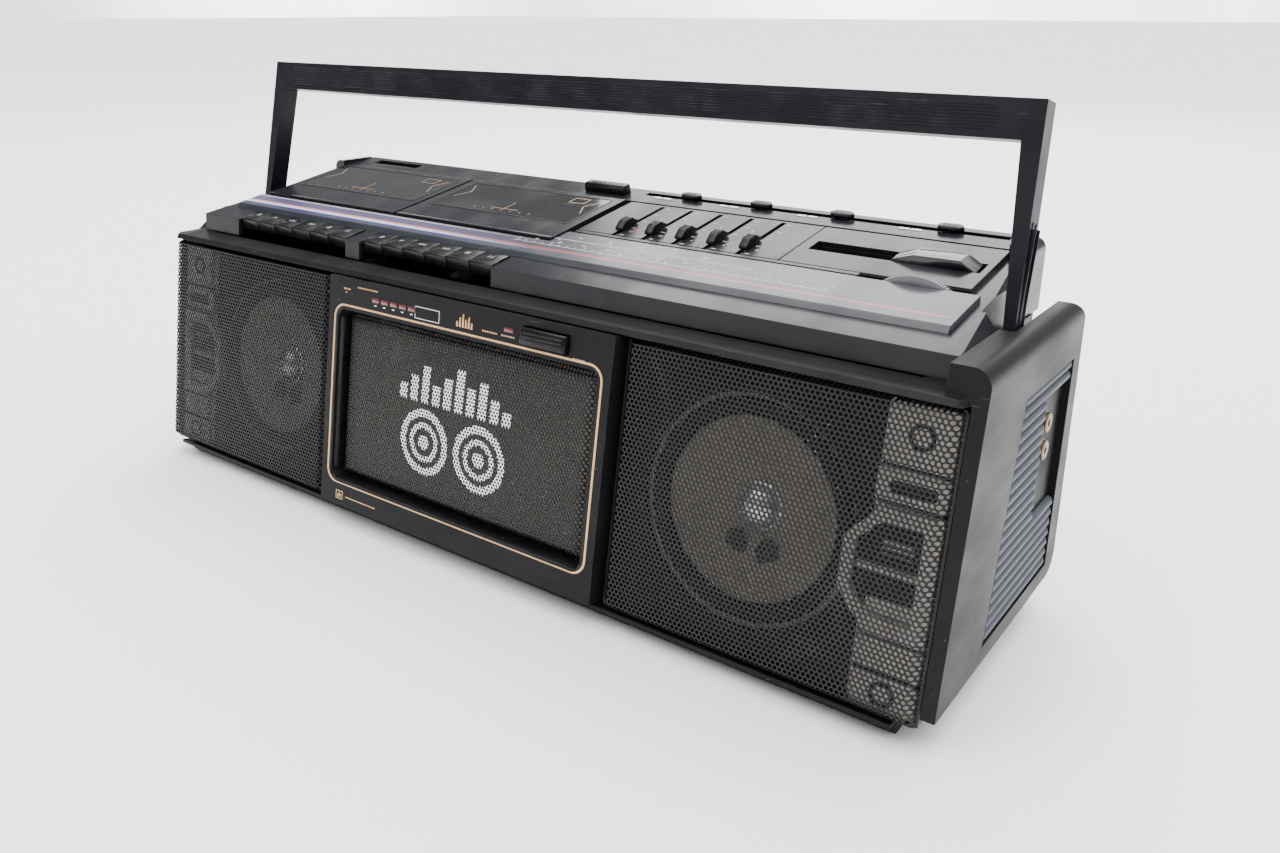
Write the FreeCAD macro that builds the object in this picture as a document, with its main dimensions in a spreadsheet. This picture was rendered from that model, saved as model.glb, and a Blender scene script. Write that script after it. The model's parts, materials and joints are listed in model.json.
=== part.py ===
"""Portable twin-cassette stereo with a carrying handle.

Millimetres, +Z up, front towards -Y, the length along X. The origin is on the surface that the
feet stand on, at the middle of the machine's length and depth.

Three frames are used. "body" is the model's own frame. "front" leans back with the front face: its
XZ plane is the face, its -Y points out of it, and its Z runs up the face from the floor. "deck"
slopes with the top: its XY plane is the level of the control panels and its Z is square to them.
"""
import FreeCAD, Part
import os
import Sketcher

DOC = FreeCAD.newDocument("cassette_player")
SHEET = DOC.addObject("Spreadsheet::Sheet", "Sizes")

SIZES = {
    # overall
    "half_length": 300,        # half of the length over the end cheeks
    "rear_face": 94.7,         # rear wall of the middle section
    "lean": 9.8,               # degrees that the front leans back
    "seam_lean": 11,           # degrees that the seam between the cabinets leans back
    "slope": 9.7,              # degrees that the deck slopes up to the rear
    "front_foot": -91.3,       # where the front face meets the floor
    "seam_foot": -39.3,        # where the seam meets the floor
    "deck_level": 185.8,       # height of the control panels at y = 0
    "wall": 3,
    # plinth and feet
    "foot_height": 2,
    "foot_radius": 10,
    "foot_inset_x": 40,
    "foot_inset_y": 20,
    "plinth_top": 9.7,
    "plinth_half": 281,
    "plinth_front": -81,
    "plinth_rear": 82,
    # cabinets
    "cheek_low": 18.5,
    "cheek_high": 175.4,
    "cheek_inner": 281,        # inner face of the cheeks above the visor
    "cheek_rear_high": 80.7,
    "cheek_rear_low": 86.8,
    "cheek_round": 12,         # rear corners, seen from the end
    "cheek_edge": 9,           # the long upper edge
    "cheek_set_left": 9,       # how far the cheeks' fronts lie behind the front face
    "cheek_set_right": 2,
    "cheek_slope_low": 150,    # the left cheek slopes back above this height
    "cheek_slope_front": -21,
    "middle_half": 270,        # half length of the rear bulge between the cheeks
    "visor_level": 162,
    "visor_lip": 3,
    "visor_thick": 3,
    "visor_half": 292.5,
    "visor_rear": -36,
    "visor_round": 5,
    "ledge_rear": -50,
    "hollow_half": 267,
    "hollow_high": 150,        # the end hollows stop below the handle's slots
    # front pocket, baffle, grilles
    "pocket_half": 293,
    "pocket_low": 12,
    "pocket_high": 165,
    "baffle_depth": 10,
    "grille_inner": 114,
    "grille_outer": 292.5,
    "grille_low": 12.5,
    "grille_high": 160.5,
    "grille_proud": 3,
    "grille_wall": 1.5,
    # centre bezel
    "bezel_half": 112,
    "bezel_low": 14,
    "bezel_high": 160,
    "bezel_proud": 6,
    "window_half": 103,
    "window_low": 31,
    "window_high": 140,
    "cloth_gap": 0.4,
    "cloth_bulge": 4,
    # drivers
    "driver_x": 189,
    "driver_h": 85,
    "driver_hole": 60,
    "driver_rim": 63,
    "cone_radius": 47.5,
    "cone_depth": 9,
    "driver_depth": 46,
    "magnet_radius": 38,
    "woofer_hole": 66,
    "woofer_rim": 68.5,
    "strip_inner": 243,
    "strip_outer": 288,
    "strip_low": 16,
    "strip_high": 158,
    "strip_depth": 7,
    "horn_half": 16,
    "horn_h": 93,
    # deck
    "deck_half": 280.6,
    "deck_rear_half": 272.5,
    "deck_hollow": 256,
    "deck_bevel": 52,          # degrees of the bevelled end faces above the cheeks
    "deck_step": 3,            # how far the step lies below the control panels
    "deck_plate": 3,
    "step_front": -46.7,
    "step_foot": -48,
    "deck_rear": 94.2,
    "rear_strip": 72,
    "strip_seam": -121,
    "recess_left": -245,
    "recess_right": -196,
    "ear_inner": 262,
    "ear_front": 66,
    "ear_high": 202,
    "ear_round": 6,
    "seam_width": 0.8,
    "panel_half": 268,
    "panel_front": -29.5,
    "scale_rear": 11,
    "scale_gap": 1.5,
    "control_rear": 71,
    "control_left": 17.5,
    "control_right": 261.5,
    "control_groove": 16,
    "control_seam": 156,
    # cassette doors and wells
    "door_left_centre": -193.7,
    "door_right_centre": -54.6,
    "door_half": 68,
    "door_front": -5,
    "door_rear": 71,
    "door_gap": 0.5,
    "door_thick": 4.2,
    "door_raise": 1.2,
    "glass_inset": 7,
    "glass_front": 19.3,
    "glass_rear": 66,
    "carrier_drop": 11,
    "carrier_wall": 1.6,
    "well_drop": 26,
    "well_wall": 2,
    # tape transport
    "chassis_thick": 2,
    "spindle_pitch": 42.5,
    "spindle_v": 36,
    "spindle_radius": 3.2,
    "spindle_high": -13,
    "reel_gear": 13,
    "bearing_gap": 0.05,
    "flywheel_radius": 22,
    "flywheel_thick": 7,
    "flywheel_v": 5,
    "capstan_offset": 12,
    "capstan_radius": 1.2,
    "motor_radius": 17,
    "motor_length": 32,
    "motor_v": 50,
    # piano keys
    "keys_left": -240,
    "keys_right": -111,
    "key_pitch": 19.1,
    "key_gap": 0.8,
    "key_front": -46.5,
    "key_rear": -31,
    "key_top": -2,
    "key_thick": 8,
    # sliders and knobs
    "eq_first": 44.5,
    "eq_pitch": 21.5,
    "eq_slot_front": 15,
    "eq_slot_rear": 69,
    "slot_width": 3,
    "slot_gap": 0.4,
    "eq_knob_v": 30,
    "eq_knob_length": 17,
    "eq_knob_width": 8,
    "eq_knob_height": 6,
    "channel_left": 18,
    "channel_right": 256,
    "channel_front": 85.5,
    "channel_rear": 90.5,
    "rear_knob_length": 16,
    "select_left": 163,
    "select_right": 258,
    "select_front": 36.5,
    "select_rear": 49.5,
    "select_knob": 46,
    "wheel_x": 235,
    "wheel_v": 13.2,
    "wheel_radius": 30,
    "wheel_thick": 4,
    "wheel_rise": 4.5,
    "pointer_x": 60,
    "pointer_travel": 70,
    # push buttons
    "button_left": 50.5,
    "button_right": 82.5,
    "button_low": 145,
    "button_high": 155,
    "button_gap": 0.4,
    "button_proud": 4,
    "block_left": -28,
    "block_right": 5,
    "block_front": 80,
    "block_rear": 88,
    "block_height": 6,
    # handle
    "pivot_y": 12,
    "pivot_z": 165,
    "pivot_radius": 4,
    "handle_lean": 12,
    "handle_reach": 113.5,
    "handle_bar": 19,
    "handle_depth": 13.5,
    "handle_tail": 7,
    "handle_top_outer": 282.7,
    "handle_top_inner": 273.8,
    "handle_foot_outer": 287.4,
    "handle_foot_inner": 282.4,
    "slot_inner": 273.4,
    "slot_outer": 288.4,
    "slot_low": 154.5,
    "slot_front": 1.7,
    # rear and inside
    "bay_half": 130,
    "bay_low": 20,
    "bay_high": 92,
    "bay_depth": 42,
    "bay_wall": 2,
    "bay_gap": 0.5,
    "hatch_thick": 2.5,
    "board_left": -140,
    "board_right": 180,
    "board_front": 3,
    "board_rear": 88,
    "board_level": 112,
    "board_thick": 1.6,
    "transformer_left": 195,
    "transformer_right": 258,
    "transformer_front": 30,
    "transformer_rear": 85,
    "transformer_high": 62,
    "jack_front": 32,
    "jack_rear": 70,
    "jack_low": 72,
    "jack_high": 136,
    "jack_depth": 6,
    "jack_plate": 2,
    "jack_v": 43,
    "jack_upper": 120,
    "jack_lower": 105,
    "jack_radius": 5,
    "jack_proud": 2.5,
    "jack_body": 10,           # how far the jacks reach in behind their plate
    "jack_bore": 1.8,
    "louvre_depth": 4,
    "louvre_low": 28,
    "louvre_high": 147,
    "louvre_rear": 70,
    "louvre_margin": 4,
    "screw_radius": 3.4,
    "screw_depth": 2,
}

for row, (alias, value) in enumerate(SIZES.items(), start=1):
    SHEET.set(f"A{row}", alias)
    SHEET.set(f"B{row}", str(value))
    SHEET.setAlias(f"B{row}", alias)
DOC.recompute()

NODES = []
COUNT = {}


def unique(stem):
    """A document name that is not taken yet."""
    COUNT[stem] = COUNT.get(stem, 0) + 1
    return f"{stem}_{COUNT[stem]}"


def cell(formula):
    """The same formula with each alias looked up in the sheet."""
    if not isinstance(formula, str):
        return str(formula)
    words = []
    word = ""
    for letter in formula + " ":
        if letter.isalnum() or letter in "_.":
            word += letter
            continue
        words.append(f"Sizes.{word}" if word in SIZES else word)
        words.append(letter)
        word = ""
    return "".join(words).strip()


def number(formula):
    """The value that a formula has now."""
    return float(SHEET.evalExpression(cell(formula)))


def bind(thing, **formulas):
    """Ties properties of an object to formulas on the sheet."""
    for name, formula in formulas.items():
        thing.setExpression(name, cell(formula))


def put(thing, x=0, y=0, z=0, angle=None, axis=None):
    """Ties an object's place, and optionally its turn about an axis."""
    if axis:
        thing.Placement = FreeCAD.Placement(FreeCAD.Vector(), FreeCAD.Rotation(axis, number(angle)))
        thing.setExpression("Placement.Rotation.Angle", cell(f"{angle} * 1 deg"))
    for name, formula in (("x", x), ("y", y), ("z", z)):
        thing.setExpression(f"Placement.Base.{name}", cell(formula))
    return thing


X_AXIS = FreeCAD.Vector(1, 0, 0)


def free(thing):
    """The piece itself, or a holder around one whose own place is already in use."""
    return thing if thing.TypeId in ("Part::Cut", "Part::MultiFuse") else group(thing)


def in_front(thing):
    """Stands a piece made in the front frame in its place."""
    return put(free(thing), y="front_foot", angle="lean", axis=FreeCAD.Vector(-1, 0, 0))


def on_deck(thing):
    """Lays a piece made in the deck frame in its place."""
    return put(free(thing), z="deck_level", angle="slope", axis=X_AXIS)


def box(x, y, z):
    """A block between two formulas along each axis."""
    block = DOC.addObject("Part::Box", unique("block"))
    bind(block, Length=f"({x[1]}) - ({x[0]})", Width=f"({y[1]}) - ({y[0]})", Height=f"({z[1]}) - ({z[0]})")
    return put(block, x[0], y[0], z[0])


TURNS = {
    "x": FreeCAD.Rotation(FreeCAD.Vector(0, 1, 0), 90),
    "y": FreeCAD.Rotation(FreeCAD.Vector(1, 0, 0), -90),
    "z": FreeCAD.Rotation(),
}


def rod(radius, along, start, end, at):
    """A round bar along one axis, with its centre at the other two coordinates."""
    bar = DOC.addObject("Part::Cylinder", unique("rod"))
    bind(bar, Radius=radius, Height=f"({end}) - ({start})")
    bar.Placement = FreeCAD.Placement(FreeCAD.Vector(), TURNS[along])
    spots = {"x": (start, at[0], at[1]), "y": (at[0], start, at[1]), "z": (at[0], at[1], start)}[along]
    for name, formula in zip("xyz", spots):
        bar.setExpression(f"Placement.Base.{name}", cell(formula))
    return bar


def sketch_on(body, plane, points):
    """A closed outline whose corners are all tied to the sheet."""
    sketch = body.newObject("Sketcher::SketchObject", unique("outline"))
    for feature in body.Origin.OriginFeatures:
        if feature.Role == plane:
            sketch.AttachmentSupport = [(feature, "")]
    sketch.MapMode = "FlatFace"
    spots = [FreeCAD.Vector(number(a), number(b), 0) for a, b in points]
    for index, spot in enumerate(spots):
        sketch.addGeometry(Part.LineSegment(spot, spots[(index + 1) % len(spots)]), False)
    for index in range(len(spots)):
        sketch.addConstraint(Sketcher.Constraint("Coincident", index, 2, (index + 1) % len(spots), 1))
    for index, (a, b) in enumerate(points):
        for kind, formula, value in (("DistanceX", a, spots[index].x), ("DistanceY", b, spots[index].y)):
            tie = sketch.addConstraint(Sketcher.Constraint(kind, -1, 1, index, 1, value))
            sketch.setExpression(f"Constraints[{tie}]", cell(formula))
    return sketch


def prism(points, start, end):
    """An outline in (y, z) drawn out along X."""
    body = DOC.addObject("PartDesign::Body", unique("prism"))
    pad = body.newObject("PartDesign::Pad", unique("pad"))
    pad.Profile = sketch_on(body, "YZ_Plane", points)
    bind(pad, Length=f"({end}) - ({start})")
    body.Tip = pad
    return put(body, x=start)


def bar(points, start, end):
    """An outline in (x, z) drawn out along Y."""
    body = DOC.addObject("PartDesign::Body", unique("bar"))
    pad = body.newObject("PartDesign::Pad", unique("pad"))
    pad.Profile = sketch_on(body, "XZ_Plane", points)
    bind(pad, Length=f"({end}) - ({start})")
    body.Tip = pad
    return put(body, y=end)


def lathe(points):
    """An outline in (radius, height) turned about Z."""
    body = DOC.addObject("PartDesign::Body", unique("lathe"))
    turned = body.newObject("PartDesign::Revolution", unique("turned"))
    sketch = sketch_on(body, "XZ_Plane", points)
    turned.Profile = sketch
    turned.ReferenceAxis = (sketch, ["V_Axis"])
    turned.Angle = 360
    body.Tip = turned
    return body


def join(*parts):
    """One solid from several that touch or overlap."""
    whole = DOC.addObject("Part::MultiFuse", unique("join"))
    whole.Shapes = list(parts)
    return whole


def group(*parts):
    """Several separate solids in one node."""
    whole = DOC.addObject("Part::Compound", unique("group"))
    whole.Links = list(parts)
    return whole


def cut(base, *tools):
    """A solid less one or more others."""
    rest = DOC.addObject("Part::Cut", unique("cut"))
    rest.Base = base
    rest.Tool = join(*tools) if len(tools) > 1 else tools[0]
    return rest


def common(base, tool):
    """What two solids share."""
    shared = DOC.addObject("Part::Common", unique("common"))
    shared.Base = base
    shared.Tool = tool
    return shared


def node(label, thing):
    """Names a finished sub-part."""
    thing.Label = label
    NODES.append(thing)
    return thing


def both_ends(make):
    """The same cutter or block at the left and at the right end."""
    return [make(-1), make(1)]


def span(side, near, far):
    """A range along X on one side of the middle, from near to far."""
    return (near, far) if side > 0 else (f"-({far})", f"-({near})")


FACE = "front_foot + ({0}) * tan(lean * 1 deg)"     # the front face's y at a height
BEHIND = " + (baffle_depth + wall) / cos(lean * 1 deg)"   # from the face to the back of the baffle
SEAM = "seam_foot + ({0}) * tan(seam_lean * 1 deg)"  # the seam's y at a height


# ---------------------------------------------------------------- cabinets
def handle_slots():
    """Slots beside the deck for the arms, open above and behind."""
    return both_ends(lambda side: box(span(side, "slot_inner", "slot_outer"),
                                      ("slot_front", "rear_face + 1"),
                                      ("slot_low", "cheek_high + 1")))


def round_edges(solid, radius, wanted):
    """Rounds the edges whose two ends pass a test."""
    DOC.recompute()
    rounded = DOC.addObject("Part::Fillet", unique("rounded"))
    rounded.Base = solid
    rounded.Edges = [(index, SIZES[radius], SIZES[radius])
                     for index, edge in enumerate(solid.Shape.Edges, start=1)
                     if wanted(edge.Vertexes[0].Point, edge.Vertexes[-1].Point)]
    return rounded


def cheek(side, near, outline, corners=()):
    """An end cheek: its outline seen from the end, with its long upper edge rounded."""
    run = span(side, near, "half_length")
    solid = prism(outline, *run)
    if corners:
        places = [(number(y), number(z)) for y, z in corners]
        solid = round_edges(solid, "cheek_round", lambda first, last: abs(first.x - last.x) > 1 and any(
            abs(first.y - y) < 0.01 and abs(first.z - z) < 0.01 for y, z in places))
    end = round_edges(box(run, ("front_foot", "cheek_rear_low + 1"), (0, "cheek_high")), "cheek_edge",
                      lambda first, last: min(side * first.x, side * last.x) > number("half_length") - 1
                      and min(first.z, last.z) > number("cheek_high") - 1)
    return common(solid, end)


def front_cabinet():
    """The front moulding: cheeks, visor, frame and baffle, with the grille pocket in its face."""
    back = [(SEAM.format("cheek_high"), "cheek_high"), (SEAM.format("cheek_low"), "cheek_low")]
    left = cheek(-1, "cheek_inner",
                 [(FACE.format("cheek_low") + " + cheek_set_left", "cheek_low"),
                  (FACE.format("cheek_slope_low") + " + cheek_set_left", "cheek_slope_low"),
                  ("cheek_slope_front", "cheek_high"), *back])
    right = cheek(1, "cheek_inner",
                  [(FACE.format("cheek_low") + " + cheek_set_right", "cheek_low"),
                   (FACE.format("cheek_high") + " + cheek_set_right", "cheek_high"), *back])
    middle = prism([(FACE.format("plinth_top"), "plinth_top"),
                    (FACE.format("visor_level - visor_thick"), "visor_level - visor_thick"),
                    (FACE.format("visor_level - visor_thick") + " - visor_lip", "visor_level - visor_thick"),
                    (FACE.format("visor_level") + " - visor_lip + 1.5", "visor_level"),
                    ("step_foot", "visor_level + 1.5"),
                    (SEAM.format("visor_level + 1.5"), "visor_level + 1.5"),
                    (SEAM.format("plinth_top"), "plinth_top")],
                   "-cheek_inner", "cheek_inner")
    edge = prism([(FACE.format("visor_level - visor_thick") + " - visor_lip", "visor_level - visor_thick"),
                  (FACE.format("visor_level") + " - visor_lip + 1.5", "visor_level"),
                  ("visor_rear", "visor_level"),
                  ("visor_rear", "visor_level - visor_thick")], "-visor_half", "visor_half")
    edge = round_edges(edge, "visor_round", lambda first, last: abs(first.x - last.x) < 1
                       and max(first.y, last.y) < number("visor_rear") - 5 and abs(first.z - last.z) > 1)
    shell = join(middle, left, right, edge)
    pocket = in_front(box(("-pocket_half", "pocket_half"), (-20, "baffle_depth"),
                          ("pocket_low", "pocket_high")))
    visor = prism([("front_foot - 20", "visor_level - visor_thick"),
                   ("front_foot - 20", "visor_level + 20"),
                   (0, "visor_level + 20"),
                   (0, "visor_level - visor_thick")], "-pocket_half - 1", "pocket_half + 1")
    hollow = prism([(FACE.format("plinth_top + wall") + BEHIND, "plinth_top + wall"),
                    (FACE.format("hollow_high") + BEHIND, "hollow_high"),
                    (SEAM.format("hollow_high") + " + 1", "hollow_high"),
                    (SEAM.format("plinth_top + wall") + " + 1", "plinth_top + wall")],
                   "-cheek_inner + wall", "cheek_inner - wall")
    ends = [prism([(FACE.format("cheek_low + wall") + BEHIND, "cheek_low + wall"),
                   (FACE.format("hollow_high") + BEHIND, "hollow_high"),
                   (SEAM.format("hollow_high") + " + 1", "hollow_high"),
                   (SEAM.format("cheek_low + wall") + " + 1", "cheek_low + wall")], *run)
            for run in (("-half_length + wall", "-cheek_inner + 2 * wall"),
                        ("cheek_inner - 2 * wall", "half_length - wall"))]
    top = box(("-hollow_half", "hollow_half"), ("ledge_rear", 10), ("hollow_high - 1", "visor_level + 5"))
    holes = [in_front(rod(radius, "y", 0, 40, (x, "driver_h")))
             for radius, x in (("driver_hole", "-driver_x"), ("woofer_hole", 0), ("driver_hole", "driver_x"))]
    return node("front_cabinet", cut(shell, cut(pocket, visor), hollow, *ends, top, *holes))


def rear_cabinet():
    """The rear moulding: back, rear cheeks, louvre recesses, jack pocket and battery bay."""
    outline = [(SEAM.format("cheek_high"), "cheek_high"),
               ("cheek_rear_high", "cheek_high"),
               ("cheek_rear_low", "cheek_low"),
               (SEAM.format("cheek_low"), "cheek_low")]
    cheeks = both_ends(lambda side: cheek(side, "middle_half", outline, outline[1:3]))
    low_cheek = box(("-cheek_inner", "cheek_inner"), (-60, "cheek_rear_low + 5"),
                    ("visor_level + 1.5", "cheek_high + 1"))
    middle = prism([(SEAM.format("visor_level + 1.5"), "visor_level + 1.5"),
                    ("rear_face", "visor_level + 1.5"),
                    ("rear_face", "plinth_top"),
                    (SEAM.format("plinth_top"), "plinth_top")],
                   "-middle_half", "middle_half")
    hollow = prism([(SEAM.format("hollow_high") + " - 1", "hollow_high"),
                    ("rear_face - wall", "hollow_high"),
                    ("rear_face - wall", "plinth_top + wall"),
                    (SEAM.format("plinth_top + wall") + " - 1", "plinth_top + wall")],
                   "-hollow_half", "hollow_half")
    ends = [prism([(SEAM.format("hollow_high") + " - 1", "hollow_high"),
                   ("cheek_rear_high - wall", "hollow_high"),
                   ("cheek_rear_high - wall", "cheek_low + wall"),
                   (SEAM.format("cheek_low + wall") + " - 1", "cheek_low + wall")], *run)
            for run in (("-half_length + louvre_depth + wall", "-hollow_half + 1"),
                        ("hollow_half - 1", "half_length - louvre_depth - wall"))]
    top = box(("-hollow_half", "hollow_half"), (-30, "rear_face - wall"),
              ("hollow_high - 1", "visor_level + 5"))
    edge = SEAM + " + louvre_margin"
    louvres = [prism([(edge.format("louvre_low"), "louvre_low"),
                      (edge.format("louvre_high"), "louvre_high"),
                      ("louvre_rear", "louvre_high"),
                      ("louvre_rear", "louvre_low")], *run)
               for run in (("-half_length - 1", "-half_length + louvre_depth"),
                           ("half_length - louvre_depth", "half_length + 1"))]
    pivots = both_ends(lambda side: rod("pivot_radius + bearing_gap", "x",
                                        *span(side, "slot_outer - 1", "half_length - 3"),
                                        ("pivot_y", "pivot_z")))
    jack_out = box(("half_length - jack_depth - 2", "half_length - louvre_depth"),
                   ("jack_front - 2", "jack_rear + 2"), ("jack_low - 2", "jack_high + 2"))
    jack_in = box(("half_length - jack_depth", "half_length + 1"),
                  ("jack_front", "jack_rear"), ("jack_low", "jack_high"))
    bay_out = box(("-bay_half - bay_wall", "bay_half + bay_wall"),
                  ("rear_face - bay_depth - bay_wall", "rear_face - wall"),
                  ("bay_low - bay_wall", "bay_high + bay_wall"))
    bay_in = box(("-bay_half", "bay_half"), ("rear_face - bay_depth", "rear_face + 1"),
                 ("bay_low", "bay_high"))
    sockets = [rod("jack_radius + 0.1", "x", "half_length - jack_depth - 3", "half_length - jack_depth + 1",
                   spot) for spot in jack_spots()]
    screws = [rod("screw_radius + 0.1", "y", "rear_face - screw_depth", "rear_face + 1", spot)
              for spot in screw_spots()]
    shell = cut(join(middle, cut(join(*cheeks), low_cheek)), hollow, *ends, top, *louvres, *pivots,
                *handle_slots())
    whole = cut(join(shell, jack_out, bay_out), jack_in, bay_in, *sockets, *screws)
    return node("rear_cabinet", whole)


def jack_spots():
    """Where the two jacks are in the end pocket."""
    return [("jack_v", "jack_upper"), ("jack_v", "jack_lower")]


def screw_spots():
    """Where the case screws are on the rear wall."""
    return [(f"{side} * (middle_half - 14)", height)
            for side in (-1, 1) for height in ("plinth_top + 12", "(plinth_top + visor_level) / 2",
                                               "visor_level - 8")]


def case_screws():
    """Six countersunk heads in the rear wall."""
    return node("case_screws", group(*[rod("screw_radius", "y", "rear_face - screw_depth",
                                           "rear_face - 0.2", spot) for spot in screw_spots()]))


def base_plinth():
    """The set-back base that the cabinets stand on."""
    return node("base_plinth", box(("-plinth_half", "plinth_half"), ("plinth_front", "plinth_rear"),
                                   ("foot_height", "plinth_top")))


def rubber_feet():
    """Four round pads."""
    spots = [(f"{side} * (plinth_half - foot_inset_x)", y)
             for side in (-1, 1) for y in ("plinth_front + foot_inset_y", "plinth_rear - foot_inset_y")]
    return node("rubber_feet", group(*[rod("foot_radius", "z", 0, "foot_height", spot) for spot in spots]))


# ---------------------------------------------------------------- front
def speaker_grille(side, label):
    """A pressed steel pan with its rim on the baffle."""
    out = box(span(side, "grille_inner", "grille_outer"), ("-grille_proud", "baffle_depth"),
              ("grille_low", "grille_high"))
    inner = box(span(side, "grille_inner + grille_wall", "grille_outer - grille_wall"),
                ("-grille_proud + grille_wall", "baffle_depth + 1"),
                ("grille_low + grille_wall", "grille_high - grille_wall"))
    return node(label, in_front(cut(out, inner)))


def speaker(label, x, hole, rim, cone, magnet, depth):
    """A driver: rim, cone and basket as one turned shape, with its magnet behind."""
    seat = "baffle_depth + wall"
    outline = [(0, f"-({seat} + cone_depth + 16)"),
               (f"{cone} * 0.28", f"-({seat} + cone_depth + 16)"),
               (cone, f"-({seat} + 5)"),
               (f"{hole} - 4", f"-({seat} + 1)"),
               (f"{hole} - 1", f"-({seat})"),
               (rim, f"-({seat})"),
               (rim, f"-({seat} + 2.5)"),
               (f"{hole} - 4", f"-({seat} + 5)"),
               (magnet, f"-({seat} + {depth} - 20)"),
               (magnet, f"-({seat} + {depth})"),
               (0, f"-({seat} + {depth})")]
    turned = lathe(outline)
    turned.Placement = FreeCAD.Placement(FreeCAD.Vector(), FreeCAD.Rotation(X_AXIS, 90))
    for name, formula in (("x", x), ("z", "driver_h")):
        turned.setExpression(f"Placement.Base.{name}", cell(formula))
    return node(label, in_front(join(turned, rod("8", "y", f"{seat} + cone_depth + 6",
                                                 f"{seat} + cone_depth + 20", (x, "driver_h")))))


def tweeter_strip(side, label):
    """The trim beside a speaker: a plate with two ringed blocks and a horn mouth."""
    back, front = "baffle_depth", "baffle_depth - strip_depth"
    plate = box(span(side, "strip_inner + 12", "strip_outer"), ("baffle_depth - 3", back),
                ("strip_low", "strip_high"))
    blocks = [box(span(side, "strip_inner + 22", "strip_outer - 2"), (front, back), run)
              for run in (("strip_high - 26", "strip_high - 4"), ("strip_low + 4", "strip_low + 26"))]
    horn = box(span(side, "strip_inner", "strip_outer - 4"), (front, back),
               ("horn_h - 2 * horn_half", "horn_h + 2 * horn_half"))
    mouth = box(span(side, "strip_inner + 8", "strip_outer - 10"), (f"{front} - 1", "baffle_depth - 2"),
                ("horn_h - horn_half", "horn_h + horn_half"))
    return node(label, in_front(cut(join(plate, horn, *blocks), mouth)))


def front_bezel():
    """The raised centre panel, open over the woofer and for its push button."""
    panel = box(("-bezel_half", "bezel_half"), ("-bezel_proud", "baffle_depth"), ("bezel_low", "bezel_high"))
    behind = box(("-bezel_half + wall", "bezel_half - wall"), ("-bezel_proud + wall", "baffle_depth + 1"),
                 ("bezel_low + wall", "bezel_high - wall - 4"))
    window = box(("-window_half", "window_half"), ("-bezel_proud - 1", "wall"),
                 ("window_low", "window_high"))
    button = box(("button_left - button_gap", "button_right + button_gap"),
                 ("-bezel_proud - 1", "wall"), ("button_low - button_gap", "button_high + button_gap"))
    return node("front_bezel", in_front(cut(panel, behind, window, button)))


def woofer_grille():
    """The perforated centre grille, a shallow pan set in the bezel's window."""
    out = box(("-window_half + cloth_gap", "window_half - cloth_gap"),
              ("-bezel_proud - cloth_bulge + 4", "baffle_depth"),
              ("window_low + cloth_gap", "window_high - cloth_gap"))
    inner = box(("-window_half + cloth_gap + grille_wall", "window_half - cloth_gap - grille_wall"),
                ("-bezel_proud - cloth_bulge + 4 + grille_wall", "baffle_depth + 1"),
                ("window_low + cloth_gap + grille_wall", "window_high - cloth_gap - grille_wall"))
    return node("woofer_grille", in_front(cut(out, inner)))


def push_button():
    """The black button at the top of the bezel."""
    cap = box(("button_left", "button_right"), ("-bezel_proud - button_proud", "-bezel_proud + 5"),
              ("button_low", "button_high"))
    stem = box(("button_left + 12", "button_right - 12"), ("-bezel_proud + 4", "-bezel_proud + 8"),
               ("button_low + 3", "button_high - 3"))
    return node("push_button", in_front(join(cap, stem)))


# ---------------------------------------------------------------- deck
def door_run(centre, grow=0):
    """A door's range along X, grown on both sides."""
    return (f"{centre} - door_half - ({grow})", f"{centre} + door_half + ({grow})")


DOORS = (("left", "door_left_centre"), ("right", "door_right_centre"))
STEP = "-deck_step"
UNDER = "-deck_step - deck_plate"


def key_run(bank, index, gap):
    """One key's range along X in its bank."""
    return (f"{bank} + {index} * key_pitch + {gap} / 2", f"{bank} + {index + 1} * key_pitch - {gap} / 2")


def deck_bevel(side):
    """What is cut off an end of the deck above the cheek."""
    rise = 50
    run = f"{rise} / tan(deck_bevel * 1 deg)"
    corner = f"{side} * deck_half"
    return bar([(corner, "cheek_high"), (f"{side} * (deck_half - {run})", f"cheek_high + {rise}"),
                (f"{side} * (deck_half + 5)", f"cheek_high + {rise}"),
                (f"{side} * (deck_half + 5)", "cheek_high")], "step_foot - 10", "rear_face + 5")


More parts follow.
